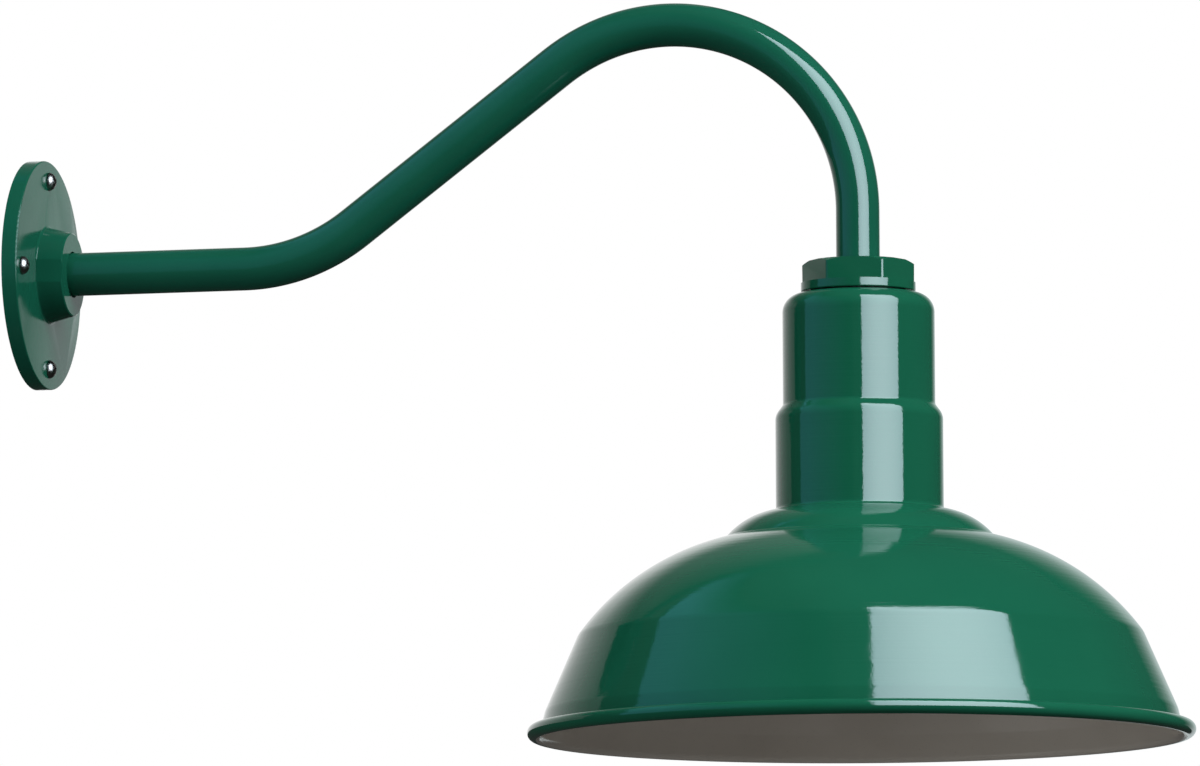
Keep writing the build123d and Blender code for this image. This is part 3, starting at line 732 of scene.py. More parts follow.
def shade_outline():
    """The middle of the shade's sheet, from its top hole to the end of the rolled rim."""
    half = SHEET / 2
    top = shade_top - half
    rim_centre = rim_outer_radius - RIM_BEAD_RADIUS
    foot_radius = rim_centre - SKIRT_TO_RIM - half
    knuckle_radius = foot_radius - SKIRT_SPREAD
    neck_end = shade_top - UPPER_NECK_HEIGHT
    step_end = neck_end - NECK_STEP_HEIGHT
    neck_base = step_end - LOWER_NECK_HEIGHT
    shoulder = neck_base - SHOULDER_HEIGHT
    knuckle_height = shoulder - DOME_HEIGHT
    foot_height = knuckle_height - SKIRT_HEIGHT
    rim_height = foot_height - RIM_HEIGHT
    neck_radius = LOWER_NECK_RADIUS - half
    corners = [
        (NECK_HOLE_RADIUS + half, top),
        (UPPER_NECK_RADIUS - half, top),
        (UPPER_NECK_RADIUS - half, neck_end),
        (neck_radius, step_end),
        (neck_radius, neck_base),
    ]
    outline = Outline()
    at = corners[0]
    for index, radius in enumerate((UPPER_NECK_CORNER, NECK_STEP_ROOT_ROUND, NECK_STEP_ROUND)):
        at = outline.corner(at, corners[index + 1], corners[index + 2], radius)

    # The shoulder and the dome are arcs that bulge outwards.
    shoulder_foot = (SHOULDER_RADIUS - half, shoulder)
    knuckle = (knuckle_radius, knuckle_height)
    foot = (foot_radius, foot_height)
    shoulder_centre, shoulder_radius = bulged(corners[-1], shoulder_foot, SHOULDER_BULGE)
    dome_centre, dome_radius = bulged(shoulder_foot, knuckle, DOME_BULGE)

    # The round at the neck's base touches the neck's line and the shoulder's arc.
    base_x = neck_radius + NECK_BASE_ROUND
    base_rise = sqrt((shoulder_radius + NECK_BASE_ROUND) ** 2 - (base_x - shoulder_centre.x) ** 2)
    base_centre = Vector((base_x, shoulder_centre.y + base_rise))
    neck_touch = (neck_radius, base_centre.y)
    outline.line(at, neck_touch, steps=8)
    outline.bow(base_centre, NECK_BASE_ROUND, neck_touch, shoulder_centre, step=radians(8))

    # The round at the shoulder's foot touches both arcs from outside.
    between = dome_centre - shoulder_centre
    near = shoulder_radius + SHOULDER_FOOT_ROUND
    far = dome_radius + SHOULDER_FOOT_ROUND
    along = (between.length_squared + near**2 - far**2) / (2 * between.length)
    across = sqrt(near**2 - along**2)
    way = between.normalized()
    foot_centre = shoulder_centre + way * along + Vector((-way.y, way.x)) * across
    outline.bow(shoulder_centre, shoulder_radius, base_centre, foot_centre, step=radians(2))
    outline.bow(foot_centre, SHOULDER_FOOT_ROUND, shoulder_centre, dome_centre, step=radians(6))

    # The knuckle's round touches the dome's arc from inside, and the skirt's line.
    skirt = (Vector(foot) - Vector(knuckle)).normalized()
    skirt_inwards = Vector((skirt.y, -skirt.x))
    base = Vector(knuckle) + skirt_inwards * KNUCKLE_ROUND - dome_centre
    along = base.dot(skirt)
    gap = dome_radius - KNUCKLE_ROUND
    shift = -along - sqrt(along**2 - base.length_squared + gap**2)
    round_centre = dome_centre + base + skirt * shift
    beyond = round_centre * 2 - dome_centre
    outline.bow(dome_centre, dome_radius, foot_centre, round_centre, step=radians(1.2))
    outline.bow(round_centre, KNUCKLE_ROUND, beyond, round_centre - skirt_inwards, step=radians(3))
    touch_skirt = tuple(round_centre - skirt_inwards * KNUCKLE_ROUND)

    # The skirt, its foot, and the sheet rolled round the rim's centre.
    curl_radius = RIM_BEAD_RADIUS - half
    curl_start = (rim_centre - curl_radius, rim_height)
    at = outline.corner(touch_skirt, foot, curl_start, SKIRT_FOOT_ROUND)
    outline.line(at, curl_start)
    before_curl = len(outline.points)
    outline.arc((rim_centre, rim_height), curl_radius, pi, pi + RIM_TURN, step=radians(9))
    return outline.points, before_curl, (rim_centre, rim_height)


def make_shade():
    """The spun shade: its sheet turned round the axis, green outside and white inside."""
    points, before_curl, rim_centre = shade_outline()
    half = SHEET / 2
    outer = [(x + half * nx, y + half * ny) for x, y, nx, ny in points]
    inner = [(x - half * nx, y - half * ny) for x, y, nx, ny in points]
    lengths = [0.0]
    for (x, y, _, _), (next_x, next_y, _, _) in zip(points, points[1:]):
        lengths.append(lengths[-1] + hypot(next_x - x, next_y - y))
    first, last = points[0], points[-1]

    def end_round(point, way):
        """The sheet's rounded end, from its outer to its inner face, or back."""
        x, y, nx, ny = point
        turned = []
        for index in range(1, SHEET_END_STEPS):
            angle = pi * index / SHEET_END_STEPS
            along = sin(angle) * way
            across = cos(angle) * way
            off_x = half * (across * nx + along * ny)
            off_y = half * (across * ny - along * nx)
            turned.append((x + off_x, y + off_y))
        return turned

    last_end = end_round(last, 1)
    first_end = end_round(first, -1)
    ring = outer + last_end + inner[::-1] + first_end
    heights = lengths + [lengths[-1]] * len(last_end) + lengths[::-1] + [0.0] * len(first_end)

    def finish_of(index):
        """0 is the green outside, and 1 the white inside, which ends under the rolled rim."""
        inner_index = 2 * len(outer) + len(last_end) - 1 - index
        if not 0 < inner_index < len(inner):
            return 0
        x, y = inner[inner_index]
        turn = wrap(atan2(y - rim_centre[1], x - rim_centre[0]) - pi) % (2 * pi)
        past_edge = inner_index >= before_curl and turn > WHITE_TURN
        return 0 if past_edge else 1

    faces = [finish_of(index) for index in range(len(ring))]
    mesh = lathe("spun_shade", ring, True, SHADE_SIDES, heights, faces)
    mesh.materials.append(shade_green)
    mesh.materials.append(inside_white)
    dress(new_piece("spun_shade", mesh), "fixture", "shade_enamel", "shade")


# --- Arm ----------------------------------------------------------------------------------


def make_arm():
    """The bent pipe: a line with two rounded corners, followed by a round wall."""
    start = arm_low.x
    lower_tangent = BEND_RADIUS * tan(RISE_ANGLE / 2)
    upper_tangent = BEND_RADIUS * tan((pi / 2 + RISE_ANGLE) / 2)
    run = lower_tangent + RISE_LENGTH + upper_tangent
    low_corner = Vector((WALL_RUN + lower_tangent, 0, 0))
    high_corner = low_corner + Vector((run * cos(RISE_ANGLE), 0, run * sin(RISE_ANGLE)))
    route = bpy.data.curves.new("arm_route", "CURVE")
    route.dimensions = "3D"
    spline = route.splines.new("POLY")
    spots = [Vector((start, 0, 0)), low_corner, high_corner, Vector((high_corner.x, 0, arm_low.z))]
    spline.points.add(len(spots) - 1)
    for point, spot in zip(spline.points, spots):
        point.co = (*spot, 1)

    def build(graph, given):
        bent = graph.add(
            "GeometryNodeFilletCurve",
            {"mode": "POLY"},
            {"Curve": given.out("Geometry"), "Count": BEND_STEPS, "Radius": given.out("Bend Radius")},
        )
        even = graph.add(
            "GeometryNodeResampleCurve",
            {"mode": "LENGTH"},
            {"Curve": bent, "Length": given.out("Step")},
        )
        along = graph.add("GeometryNodeSplineParameter").out("Length")
        whole = graph.add("GeometryNodeSplineLength").out("Length")
        threaded = (along < given.out("Wall Thread")) + (along > whole - given.out("Hub Thread"))
        cut = 1 - given.out("Thread Radius") / given.out("Outer Radius")
        turned = graph.add(
            "GeometryNodeSetCurveRadius", {}, {"Curve": even, "Radius": 1 - cut * threaded}
        )
        section = graph.add(
            "GeometryNodeCurvePrimitiveCircle",
            {"mode": "RADIUS"},
            {"Resolution": given.out("Sides"), "Radius": given.out("Outer Radius")},
        )
        skin = graph.add(
            "GeometryNodeCurveToMesh", {}, {"Curve": turned, "Profile Curve": section}
        )
        wall = graph.add(
            "GeometryNodeExtrudeMesh",
            {"mode": "FACES"},
            {
                "Mesh": skin,
                "Offset": graph.add("GeometryNodeInputNormal"),
                "Offset Scale": 0 - given.out("Wall"),
                "Individual": False,
            },
        )
        bore = graph.add("GeometryNodeFlipFaces", {}, {"Mesh": wall})
        both = graph.add("GeometryNodeJoinGeometry")
        for part in (bore, skin):
            graph.put(both.socket.node.inputs[0], part)
        welded = graph.add("GeometryNodeMergeByDistance", {}, {"Geometry": both, "Distance": MERGE_GAP})
        real = graph.add("GeometryNodeRealizeInstances", {}, {"Geometry": welded})
        return graph.add(
            "GeometryNodeSetMaterial", {}, {"Geometry": real, "Material": given.out("Finish")}
        )

    inputs = {
        "Bend Radius": (NUMBER, BEND_RADIUS),
        "Outer Radius": (NUMBER, PIPE_RADIUS),
        "Wall": (NUMBER, PIPE_WALL),
        "Thread Radius": (NUMBER, PIPE_THREAD_RADIUS),
        "Wall Thread": (NUMBER, THREAD_AT_WALL),
        "Hub Thread": (NUMBER, THREAD_AT_HUB),
        "Step": (NUMBER, ARM_STEP),
        "Sides": (WHOLE, ARM_SIDES),
        "Finish": (STUFF, arm_green),
    }
    mesh = run_tree("bent_pipe_arm", new_piece("arm_route", route), inputs, build)
    smooth(mesh)
    dress(new_piece("bent_pipe_arm", mesh), "fixture", "arm_enamel", "gooseneck_arm")


# --- Wall screws --------------------------------------------------------------------------


def threaded_rod(name, rows):
    """A rod along X with a helical thread, from rows of (place, radius, share of the thread's depth)."""
    mesh = bpy.data.meshes.new(name)
    shape = bmesh.new()
    rings = []
    for place, radius, share in rows:
        ring = []
        for step in range(SCREW_SIDES):
            turn = step / SCREW_SIDES
            angle = 2 * pi * turn
            phase = (place / SCREW_THREAD_PITCH - turn) % 1.0
            depth = SCREW_THREAD_DEPTH * share * min(1.0, 4 * abs(phase - 0.5))
            reach = max(radius - depth, 0.0)
            ring.append(shape.verts.new((place, reach * cos(angle), reach * sin(angle))))
        rings.append(ring)
    for here, there in zip(rings, rings[1:]):
        for step in range(SCREW_SIDES):
            after = (step + 1) % SCREW_SIDES
            shape.faces.new((here[step], here[after], there[after], there[step]))
    bmesh.ops.remove_doubles(shape, verts=shape.verts, dist=MERGE_GAP)
    bmesh.ops.recalc_face_normals(shape, faces=shape.faces)
    shape.to_mesh(mesh)
    shape.free()
    return mesh


def screw_rows():
    """The rows of a wall screw, from the top of its domed head to its point."""
    head_steps = 12
    steps_in_a_pitch = 12
    steps_to_full_thread = 8
    point_steps = 24
    head_seat = screw_high.x - SCREW_HEAD_HEIGHT
    thread_end = screw_low.x + SCREW_POINT
    rows = [(screw_high.x, 0.0, 0.0)]
    for index in range(1, head_steps + 1):
        angle = (pi / 2) * index / head_steps
        place = head_seat + SCREW_HEAD_HEIGHT * cos(angle)
        rows.append((place, SCREW_HEAD_RADIUS * sin(angle), 0.0))
    rows.append((head_seat, SCREW_SHANK_RADIUS, 0.0))
    rows.append((0.0, SCREW_SHANK_RADIUS, 0.0))
    length = -thread_end
    count = ceil(length / SCREW_THREAD_PITCH * steps_in_a_pitch)
    for index in range(count + 1):
        place = -length * index / count
        rows.append((place, SCREW_THREAD_RADIUS, min(1.0, index / steps_to_full_thread)))
    for index in range(1, point_steps + 1):
        share = index / point_steps
        place = thread_end - SCREW_POINT * share
        rows.append((place, SCREW_THREAD_RADIUS * (1 - share), 1 - share))
    return rows


def make_screw():
    """One wall screw along X at the origin, with a domed head, a cross recess and a thread."""
    screw = new_piece("one_wall_screw", threaded_rod("one_wall_screw", screw_rows()))
    cutters = []
    for turn in (0, pi / 2):
        bpy.ops.mesh.primitive_cube_add(size=1)
        blade = bpy.context.object
        blade.scale = RECESS_BLADE
        blade.location = (screw_high.x - RECESS_MIDDLE, 0, 0)
        blade.rotation_euler = (turn, 0, 0)
        cutters.append(blade)
    for blade in cutters:
        cut = screw.modifiers.new("recess", "BOOLEAN")
        cut.operation = "DIFFERENCE"
        cut.solver = "EXACT"
        cut.object = blade
    evaluated = screw.evaluated_get(bpy.context.evaluated_depsgraph_get())
    finished = bpy.data.meshes.new_from_object(evaluated)
    for blade in cutters:
        bpy.data.objects.remove(blade)
    bpy.data.objects.remove(screw)
    smooth(finished, angle=radians(35))
    return new_piece("one_wall_screw", finished)


def make_screws():
    """The wall screws: one screw set at even places round a circle, each turned its own way."""
    screw = make_screw()

    def build(graph, given):
        count = given.out("Count")
        line = graph.add("GeometryNodeMeshLine", {}, {"Count": count})
        number = graph.add("GeometryNodeInputIndex")
        turn = number * (2 * pi) / count
        sine = graph.add("ShaderNodeMath", {"operation": "SINE"}, {0: turn})
        cosine = graph.add("ShaderNodeMath", {"operation": "COSINE"}, {0: turn})
        radius = given.out("Circle Radius")
        spot = graph.add("ShaderNodeCombineXYZ", {}, {"Y": radius * cosine, "Z": radius * sine})
        placed = graph.add("GeometryNodeSetPosition", {}, {"Geometry": line, "Position": spot})
        chance = graph.add(
            "FunctionNodeRandomValue",
            {"data_type": "FLOAT"},
            {"Min_001": 0.0, "Max_001": pi / 2, "Seed": given.out("Seed")},
        ).out("Value_001")
        way = graph.add("ShaderNodeCombineXYZ", {}, {"X": chance})
        one = graph.add("GeometryNodeObjectInfo", {}, {"Object": given.out("Screw")})
        copies = graph.add(
            "GeometryNodeInstanceOnPoints",
            {},
            {"Points": placed, "Instance": one.out("Geometry"), "Rotation": way},
        )
        real = graph.add("GeometryNodeRealizeInstances", {}, {"Geometry": copies})
        return graph.add(
            "GeometryNodeSetMaterial", {}, {"Geometry": real, "Material": given.out("Finish")}
        )

    inputs = {
        "Count": (WHOLE, SCREW_COUNT),
        "Circle Radius": (NUMBER, SCREW_CIRCLE_RADIUS),
        "Seed": (WHOLE, SCREW_SEED),
        "Screw": (THING, screw),
        "Finish": (STUFF, screw_steel),
    }
    base = new_piece("screw_circle", bpy.data.meshes.new("screw_circle"))
    mesh = run_tree("wall_screw_set", base, inputs, build)
    bpy.data.objects.remove(screw)
    dress(new_piece("wall_screw_set", mesh), "fixture", "dark_steel", "plate_screws")


# --- Castings, nuts and bracket -----------------------------------------------------------


def make_rounded_pieces():
    """Pieces that keep their CAD form, with the rounded edges that castings and pressings have."""
    # The two sizes are the rounds of all sharp edges, and of the hexagon's upright corners.
    for node, name, edges, corners, material, slot in (
        ("wall_plate", "cast_wall_plate", 0.35 * MM, 0.0, cast_green, "plate_enamel"),
        ("hub_cap", "hexagon_hub", 0.4 * MM, 1.3 * MM, hub_green, "hub_enamel"),
        ("shade_lock_nut", "shade_nut", 0.4 * MM, 0.0, zinc, "zinc_steel"),
        ("bracket_nut", "bracket_hexagon_nut", 0.4 * MM, 0.0, zinc, "zinc_steel"),
        ("socket_bracket", "socket_strap", 0.25 * MM, 0.0, zinc, "zinc_steel"),
        ("earth_screw", "earth_hexagon_screw", 0.2 * MM, 0.0, earth_green, "green_screw"),
    ):
        piece = bevelled_copy(node, name, edges, corners)
        piece.data.materials.append(material)
        dress(piece, "fixture", slot, node)


# --- Bulb and lampholder ------------------------------------------------------------------


def threaded_sleeve(name, node, body, outer, wall, thread_depth):
    """A thin nickel tube about the shade's axis with a rolled thread, in place of a node."""
    steps_in_a_pitch = 14
    low, high = (corner.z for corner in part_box(node))
    count = ceil((high - low) / SHELL_PITCH * steps_in_a_pitch)
    heights = [low + (high - low) * index / count for index in range(count + 1)]
    shape = bmesh.new()
    loops = []
    for step in range(SHELL_SIDES):
        turn = step / SHELL_SIDES
        angle = 2 * pi * turn
        column = []
        for side, heights_here in ((0.0, heights), (wall, heights[::-1])):
            for height in heights_here:
                fade = min(1.0, (height - low) / SHELL_PLAIN_END, (high - height) / SHELL_PLAIN_END)
                wave = 0.5 - 0.5 * cos(2 * pi * (height / SHELL_PITCH - turn))
                radius = outer - side - thread_depth * wave * max(fade, 0.0)
                spot = (shade_x + radius * cos(angle), radius * sin(angle), height)
                column.append(shape.verts.new(spot))
        loops.append(column)
    for step in range(SHELL_SIDES):
        here, there = loops[step], loops[(step + 1) % SHELL_SIDES]
        for index in range(len(here)):
            after = (index + 1) % len(here)
            shape.faces.new((here[index], here[after], there[after], there[index]))
    bmesh.ops.recalc_face_normals(shape, faces=shape.faces)
    mesh = bpy.data.meshes.new(name)
    shape.to_mesh(mesh)
    shape.free()
    smooth(mesh, angle=radians(50))
    mesh.materials.append(nickel)
    dress(new_piece(name, mesh), body, "nickel_shell", node)


def make_shells():
    """The bulb's screw shell and the socket's."""
    threaded_sleeve(
        "bulb_screw_shell",
        "bulb_shell",
        "bulb",
        outer=BULB_SHELL_RADIUS,
        wall=BULB_SHELL_WALL,
        thread_depth=BULB_SHELL_THREAD,
    )
    threaded_sleeve(
        "socket_screw_shell",
        "screw_shell",
        "fixture",
        outer=SOCKET_SHELL_RADIUS,
        wall=SOCKET_SHELL_WALL,
        thread_depth=SOCKET_SHELL_THREAD,
    )


def make_bulb_glass():
    """The bulb's glass: a globe and a neck, joined by one hollow sweep."""
    lip = glass_high.z
    globe_height = glass_low.z + BULB_GLOBE_RADIUS
    span = BULB_GLOBE_RADIUS + BULB_NECK_SWEEP
    sweep_x = BULB_NECK_RADIUS + BULB_NECK_SWEEP
    drop = sqrt(span**2 - sweep_x**2)
    sweep_centre = (sweep_x, globe_height + drop)
    touch = atan2(-drop, -sweep_x)
    outline = Outline()
    cut_in = (BULB_NECK_RADIUS - BULB_LIP_CUT, lip)
    cut_out = (BULB_NECK_RADIUS, lip - BULB_LIP_CUT)
    outline.line((0.0, lip), cut_in)
    outline.line(cut_in, cut_out)
    outline.line(cut_out, (BULB_NECK_RADIUS, sweep_centre[1]), steps=3)
    outline.arc(sweep_centre, BULB_NECK_SWEEP, pi, 2 * pi + touch, step=radians(3))
    joined = asin(drop / span)
    outline.arc((0.0, globe_height), BULB_GLOBE_RADIUS, joined, -pi / 2, step=radians(3))
    ring = [(max(x, 0.0), y) for x, y, _, _ in outline.points]
    mesh = lathe("bulb_globe", ring, False, BULB_GLOBE_SIDES)
    mesh.materials.append(bulb_white)
    dress(new_piece("bulb_globe", mesh), "bulb", "bulb_glass", "bulb_glass")


def paint_nodes():
    """Finishes of the CAD nodes that stay as they are."""
    finishes = {
        "wall_gasket": rubber,
        "arm_set_screw": screw_steel,
        "hub_set_screw": screw_steel,
        "hub_gasket": rubber,
        "wire_bushing": bushing_black,
        "socket_body": porcelain,
        "socket_screws": zinc,
        "centre_contact": brass,
        "black_lead": black_sleeve,
        "white_lead": white_sleeve,
        "earth_lead": green_sleeve,
        "lead_cores": copper,
        "earth_terminal": zinc,
        "bulb_insulator": black_glass,
        "bulb_tip": tin,
    }
    for name, material in finishes.items():
        slots = nodes[name].data.materials
        slots.clear()
        slots.append(material)


# --- Stage, light and camera --------------------------------------------------------------

# How far the camera's side is turned from -Y towards +X.
FACING = atan2(CAMERA_PLACE.x - CAMERA_TARGET.x, -(CAMERA_PLACE.y - CAMERA_TARGET.y))

# The screens stand round this point. Their edges are (rise, left turn, right turn), going up, in
# degrees from the camera's side.
STAGE_CENTRE = Vector((shade_x, 0, -0.15))
SCREEN_STEPS = 32
WINDOW_EDGES = (
    (-1, 3.5, 60), (18, 3.0, 60), (36, 3.5, 67), (44, 3.5, 73), (52, 3.5, 76),
    (58, 3.5, 77), (62, 3.5, 68), (67, 3.5, 42), (70, 3.5, 15),
)
BACKDROP_LEFT_EDGES = (
    (-1, 178, 251), (10, 178, 251), (26, 178, 245), (30, 178, 239), (33, 178, 240),
    (38, 178, 248), (44, 178, 235), (51, 178, 228), (57, 178, 216), (60, 178, 205),
)
BACKDROP_RIGHT_EDGES = ((-10, 141, 178), (38, 141, 178))
COOL_SIDE_EDGES = (
    (-2, -89, -10), (20, -90, -10), (31, -99, -10), (38, -109, -12),
    (44, -121, -14), (51, -129, -18), (57, -141, -20), (62, -153, -22),
)
# How far across the window its light is strongest.
WINDOW_HOT_PLACE = 0.52

# The floor's glow makes it pale to the camera. The rest of it is lit, and takes the shadow.
FLOOR_HEIGHT = -1.3
FLOOR_REACH = 9.0
FLOOR_GLOW = 1.05
FLOOR_GLOW_SHARE = 0.82
# The card's place along X, and its corners as (y, z).
WALL_CARD_PLACE = -0.2 * MM
WALL_CARD_CORNERS = ((-0.21, -0.08), (0.08, -0.08), (0.08, 0.08), (-0.21, 0.08))

# The lamps' turn and rise in degrees from the camera's side, distance, size, watts and tint.
LAMP_AIM = Vector((shade_x - 0.1, 0, -0.12))
LAMPS = (
    ("key", 50, 32, 3.0, 1.8, 92.0, (1.0, 0.99, 0.97)),
    ("fill", -48, 12, 3.2, 2.2, 27.0, (0.97, 1.0, 1.0)),
    ("top", 10, 78, 2.6, 2.0, 22.0, (1.0, 1.0, 1.0)),
    ("back", 165, 30, 3.2, 2.2, 26.0, (1.0, 1.0, 1.0)),
    ("low", -78, -42, 2.4, 1.4, 17.0, (1.0, 1.0, 1.0)),
)
# How strong the white surroundings are, as gloss and as matt surfaces meet them.
WORLD_IN_GLOSS = 0.03
WORLD_ON_SURFACES = 0.115


def from_camera_side(turn, rise):
    """A direction from the object: turn degrees to the right of the camera, and rise up."""
    angle = FACING + radians(turn)
    flat = cos(radians(rise))
    return Vector((sin(angle) * flat, -cos(angle) * flat, sin(radians(rise))))


def stage_material(name, tint, strength, seen_by, middle=None, fades=(), one_sided=False):
    """Light seen only by some kinds of ray, and clear to all others.

    middle is a brighter tint about its middle. Each of fades is (axis, full at, faded at, share left).
    """
    material, graph = new_material(name)
    path = graph.add("ShaderNodeLightPath")
    seen = path.out(seen_by[0])
    for other in seen_by[1:]:
        seen = graph.add("ShaderNodeMath", {"operation": "MAXIMUM"}, {0: seen, 1: path.out(other)})
    if one_sided:
        seen = seen * (1 - graph.add("ShaderNodeNewGeometry").out("Backfacing"))
    shown = colour(*tint)
    place = graph.add("ShaderNodeUVMap", {"uv_map": "screen"})
    spot = graph.add("ShaderNodeSeparateXYZ", {}, {"Vector": place})
    if middle:
        off = (spot.out("X") - WINDOW_HOT_PLACE) * 2
        shown = blend_colour(graph, 1 - off * off, shown, colour(*middle))
    for axis, full, faded, left in fades:
        lost = (1 - left) * ramp(graph, spot.out(axis), full, faded)
        shown = blend_colour(graph, lost, shown, colour(0, 0, 0))
    glow = graph.add("ShaderNodeEmission", {}, {"Color": shown, "Strength": strength})
    clear = graph.add("ShaderNodeBsdfTransparent")
    mixed = graph.add("ShaderNodeMixShader", {}, {0: seen, 1: clear, 2: glow})
    graph.add("ShaderNodeOutputMaterial", {}, {"Surface": mixed})
    return material


def curved_screen(name, material, edges, distance):
    """Part of a ball round the stage's centre, facing inwards."""
    steps = SCREEN_STEPS
    shape = bmesh.new()
    uv = shape.loops.layers.uv.new("screen")
    rows = []
    for row in range(steps + 1):
        rise = edges[0][0] + (edges[-1][0] - edges[0][0]) * row / steps
        below, above = [pair for pair in zip(edges, edges[1:]) if pair[0][0] <= rise + 1e-6][-1]
        up = (rise - below[0]) / (above[0] - below[0])
        left, right = [low + (high - low) * up for low, high in zip(below[1:], above[1:])]
        line = []
        for n in range(steps + 1):
            way = from_camera_side(left + (right - left) * n / steps, rise)
            line.append(shape.verts.new(STAGE_CENTRE + distance * way))
        rows.append(line)
    for row in range(steps):
        for n in range(steps):
            corners = ((n, row), (n, row + 1), (n + 1, row + 1), (n + 1, row))
            face = shape.faces.new([rows[b][a] for a, b in corners])
            for loop, (a, b) in zip(face.loops, corners):
                loop[uv].uv = (a / steps, b / steps)
    mesh = bpy.data.meshes.new(name)
    shape.to_mesh(mesh)
    shape.free()
    mesh.materials.append(material)
    screen = new_piece(name, mesh)
    screen.visible_shadow = False
    screen.visible_diffuse = False


def make_screens():
    """What the gloss shows: the window of a soft light, a pale backdrop, and a cool side."""
    gloss = ["Is Glossy Ray"]
    gloss_and_glass = ["Is Glossy Ray", "Is Transmission Ray"]
    window = stage_material(
        "soft_window_light",
        tint=(0.55, 0.667, 0.767),
        strength=10.8,
        seen_by=gloss,
        middle=(0.75, 0.90, 1.0),
    )
    curved_screen("soft_window", window, WINDOW_EDGES, distance=1.5)
    left = stage_material(
        "pale_backdrop_left",
        tint=(1.0, 1.0, 1.0),
        strength=1.0,
        seen_by=gloss_and_glass,
        fades=[("X", 0.2, 0.9, 0.3), ("Y", 0.36, 0.56, 0.22)],
    )
    curved_screen("backdrop_left", left, BACKDROP_LEFT_EDGES, distance=2.4)
    right = stage_material(
        "pale_backdrop_right",
        tint=(0.9, 1.0, 1.0),
        strength=0.72,
        seen_by=gloss_and_glass,
        fades=[("X", 0.5, 0.0, 0.0), ("Y", 0.55, 1.0, 0.0)],
    )
    curved_screen("backdrop_right", right, BACKDROP_RIGHT_EDGES, distance=2.4)
    cool = stage_material(
        "cool_side",
        tint=(0.20, 0.64, 0.95),
        strength=0.85,
        seen_by=gloss,
        fades=[("X", 0.2, 0.9, 0.0), ("Y", 0.8, 1.0, 0.0)],
    )
    curved_screen("cool_side", cool, COOL_SIDE_EDGES, distance=2.2)


def floor_material():
    """Pale to the camera, with a share of the lamps' light for its shadow, and clear from below."""
    material, graph = new_material("pale_floor")
    cloud = noise(graph, object_place(graph), 3.0, detail=3.0)
    tone = blend_colour(graph, cloud, colour(0.86, 0.86, 0.85), colour(0.82, 0.82, 0.81))
    lit = graph.add("ShaderNodeBsdfDiffuse", {}, {"Color": tone, "Roughness": 0.0})
    pale = graph.add("ShaderNodeEmission", {}, {"Color": tone, "Strength": FLOOR_GLOW})
    seen = FLOOR_GLOW_SHARE * graph.add("ShaderNodeLightPath").out("Is Camera Ray")
    top = graph.add("ShaderNodeMixShader", {}, {0: seen, 1: lit, 2: pale})
    under = graph.add("ShaderNodeNewGeometry").out("Backfacing")
    clear = graph.add("ShaderNodeBsdfTransparent")
    mixed = graph.add("ShaderNodeMixShader", {}, {0: under, 1: top, 2: clear})
    graph.add("ShaderNodeOutputMaterial", {}, {"Surface": mixed})
    return material


def make_floor():
    """A wide pale floor, well below the object."""
    material = floor_material()
    shape = bmesh.new()
    bmesh.ops.create_grid(shape, x_segments=1, y_segments=1, size=FLOOR_REACH)
    mesh = bpy.data.meshes.new("floor")
    bmesh.ops.translate(shape, verts=shape.verts, vec=(shade_x, 0, FLOOR_HEIGHT))
    shape.to_mesh(mesh)
    shape.free()
    mesh.materials.append(material)
    floor = new_piece("floor", mesh)
    floor.visible_diffuse = False
    floor.visible_glossy = False


def make_wall_card():
    """A white card on the wall's plane, which hides the screws' threads and is clear from behind."""
    card = stage_material("white_wall", (1.0, 1.0, 1.0), 1.0, ["Is Camera Ray"], one_sided=True)
    mesh = bpy.data.meshes.new("wall")
    spots = [(WALL_CARD_PLACE, y, z) for y, z in WALL_CARD_CORNERS]
    mesh.from_pydata(spots, [], [(0, 1, 2, 3)])
    mesh.materials.append(card)
    wall = new_piece("wall", mesh)
    wall.visible_shadow = False
    wall.visible_diffuse = False
    wall.visible_glossy = False


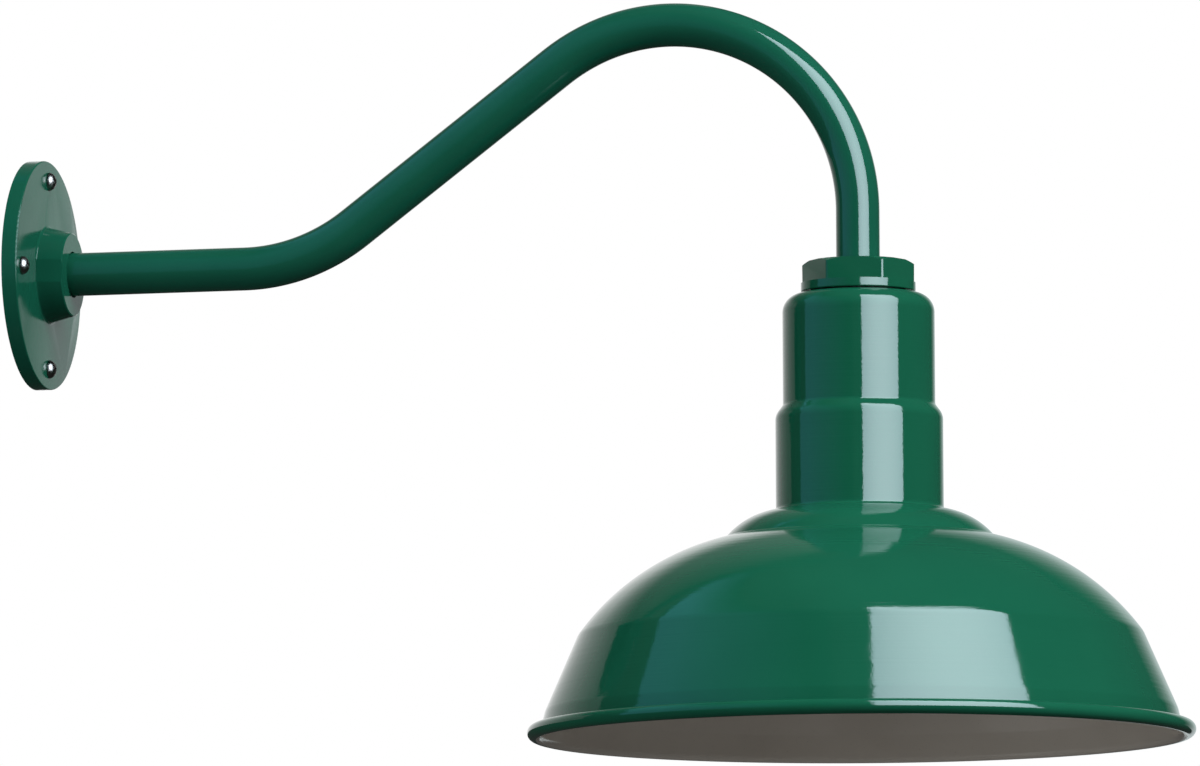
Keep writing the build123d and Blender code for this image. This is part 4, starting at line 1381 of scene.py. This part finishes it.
def lamp(name, turn, rise, distance, size, power, tint):
    """A soft square lamp that lights the object and isn't seen in it."""
    light = bpy.data.lights.new(name, "AREA")
    light.shape = "SQUARE"
    light.size = size
    light.energy = power
    light.color = tint
    thing = bpy.data.objects.new(name, light)
    bpy.context.scene.collection.objects.link(thing)
    thing.location = LAMP_AIM + distance * from_camera_side(turn, rise)
    thing.rotation_euler = (LAMP_AIM - thing.location).to_track_quat("-Z", "Y").to_euler()
    thing.visible_camera = False
    thing.visible_glossy = False


def make_light():
    """Lamps at a plain level, mostly from the right and above, and a white surrounding."""
    for row in LAMPS:
        lamp(*row)
    world = bpy.data.worlds.new("studio")
    world.use_nodes = True
    world.node_tree.nodes.clear()
    graph = Graph(world.node_tree)
    path = graph.add("ShaderNodeLightPath")
    white = graph.add(
        "ShaderNodeMath",
        {"operation": "MAXIMUM"},
        {0: path.out("Is Camera Ray"), 1: path.out("Is Transmission Ray")},
    )
    glossy = path.out("Is Glossy Ray")
    strength = white + (1 - white) * (glossy * WORLD_IN_GLOSS + (1 - glossy) * WORLD_ON_SURFACES)
    shine = graph.add("ShaderNodeBackground", {}, {"Color": colour(1, 1, 1), "Strength": strength})
    graph.add("ShaderNodeOutputWorld", {}, {"Surface": shine})
    bpy.context.scene.world = world


def make_camera():
    """The camera at the photograph's viewing angle."""
    lens = bpy.data.cameras.new("photograph")
    lens.lens = CAMERA_LENS
    lens.sensor_fit = "HORIZONTAL"
    lens.sensor_width = CAMERA_SENSOR
    lens.clip_end = CAMERA_REACH
    camera = bpy.data.objects.new("photograph", lens)
    bpy.context.scene.collection.objects.link(camera)
    camera.location = CAMERA_PLACE
    aim = (CAMERA_TARGET - CAMERA_PLACE).to_track_quat("-Z", "Y")
    camera.rotation_euler = (aim @ Quaternion((0, 0, 1), CAMERA_ROLL)).to_euler()
    bpy.context.scene.camera = camera
    bpy.context.scene.view_settings.view_transform = "Standard"


make_shade()
make_arm()
make_screws()
make_rounded_pieces()
make_shells()
make_bulb_glass()
paint_nodes()
make_screens()
make_floor()
make_wall_card()
make_light()
make_camera()
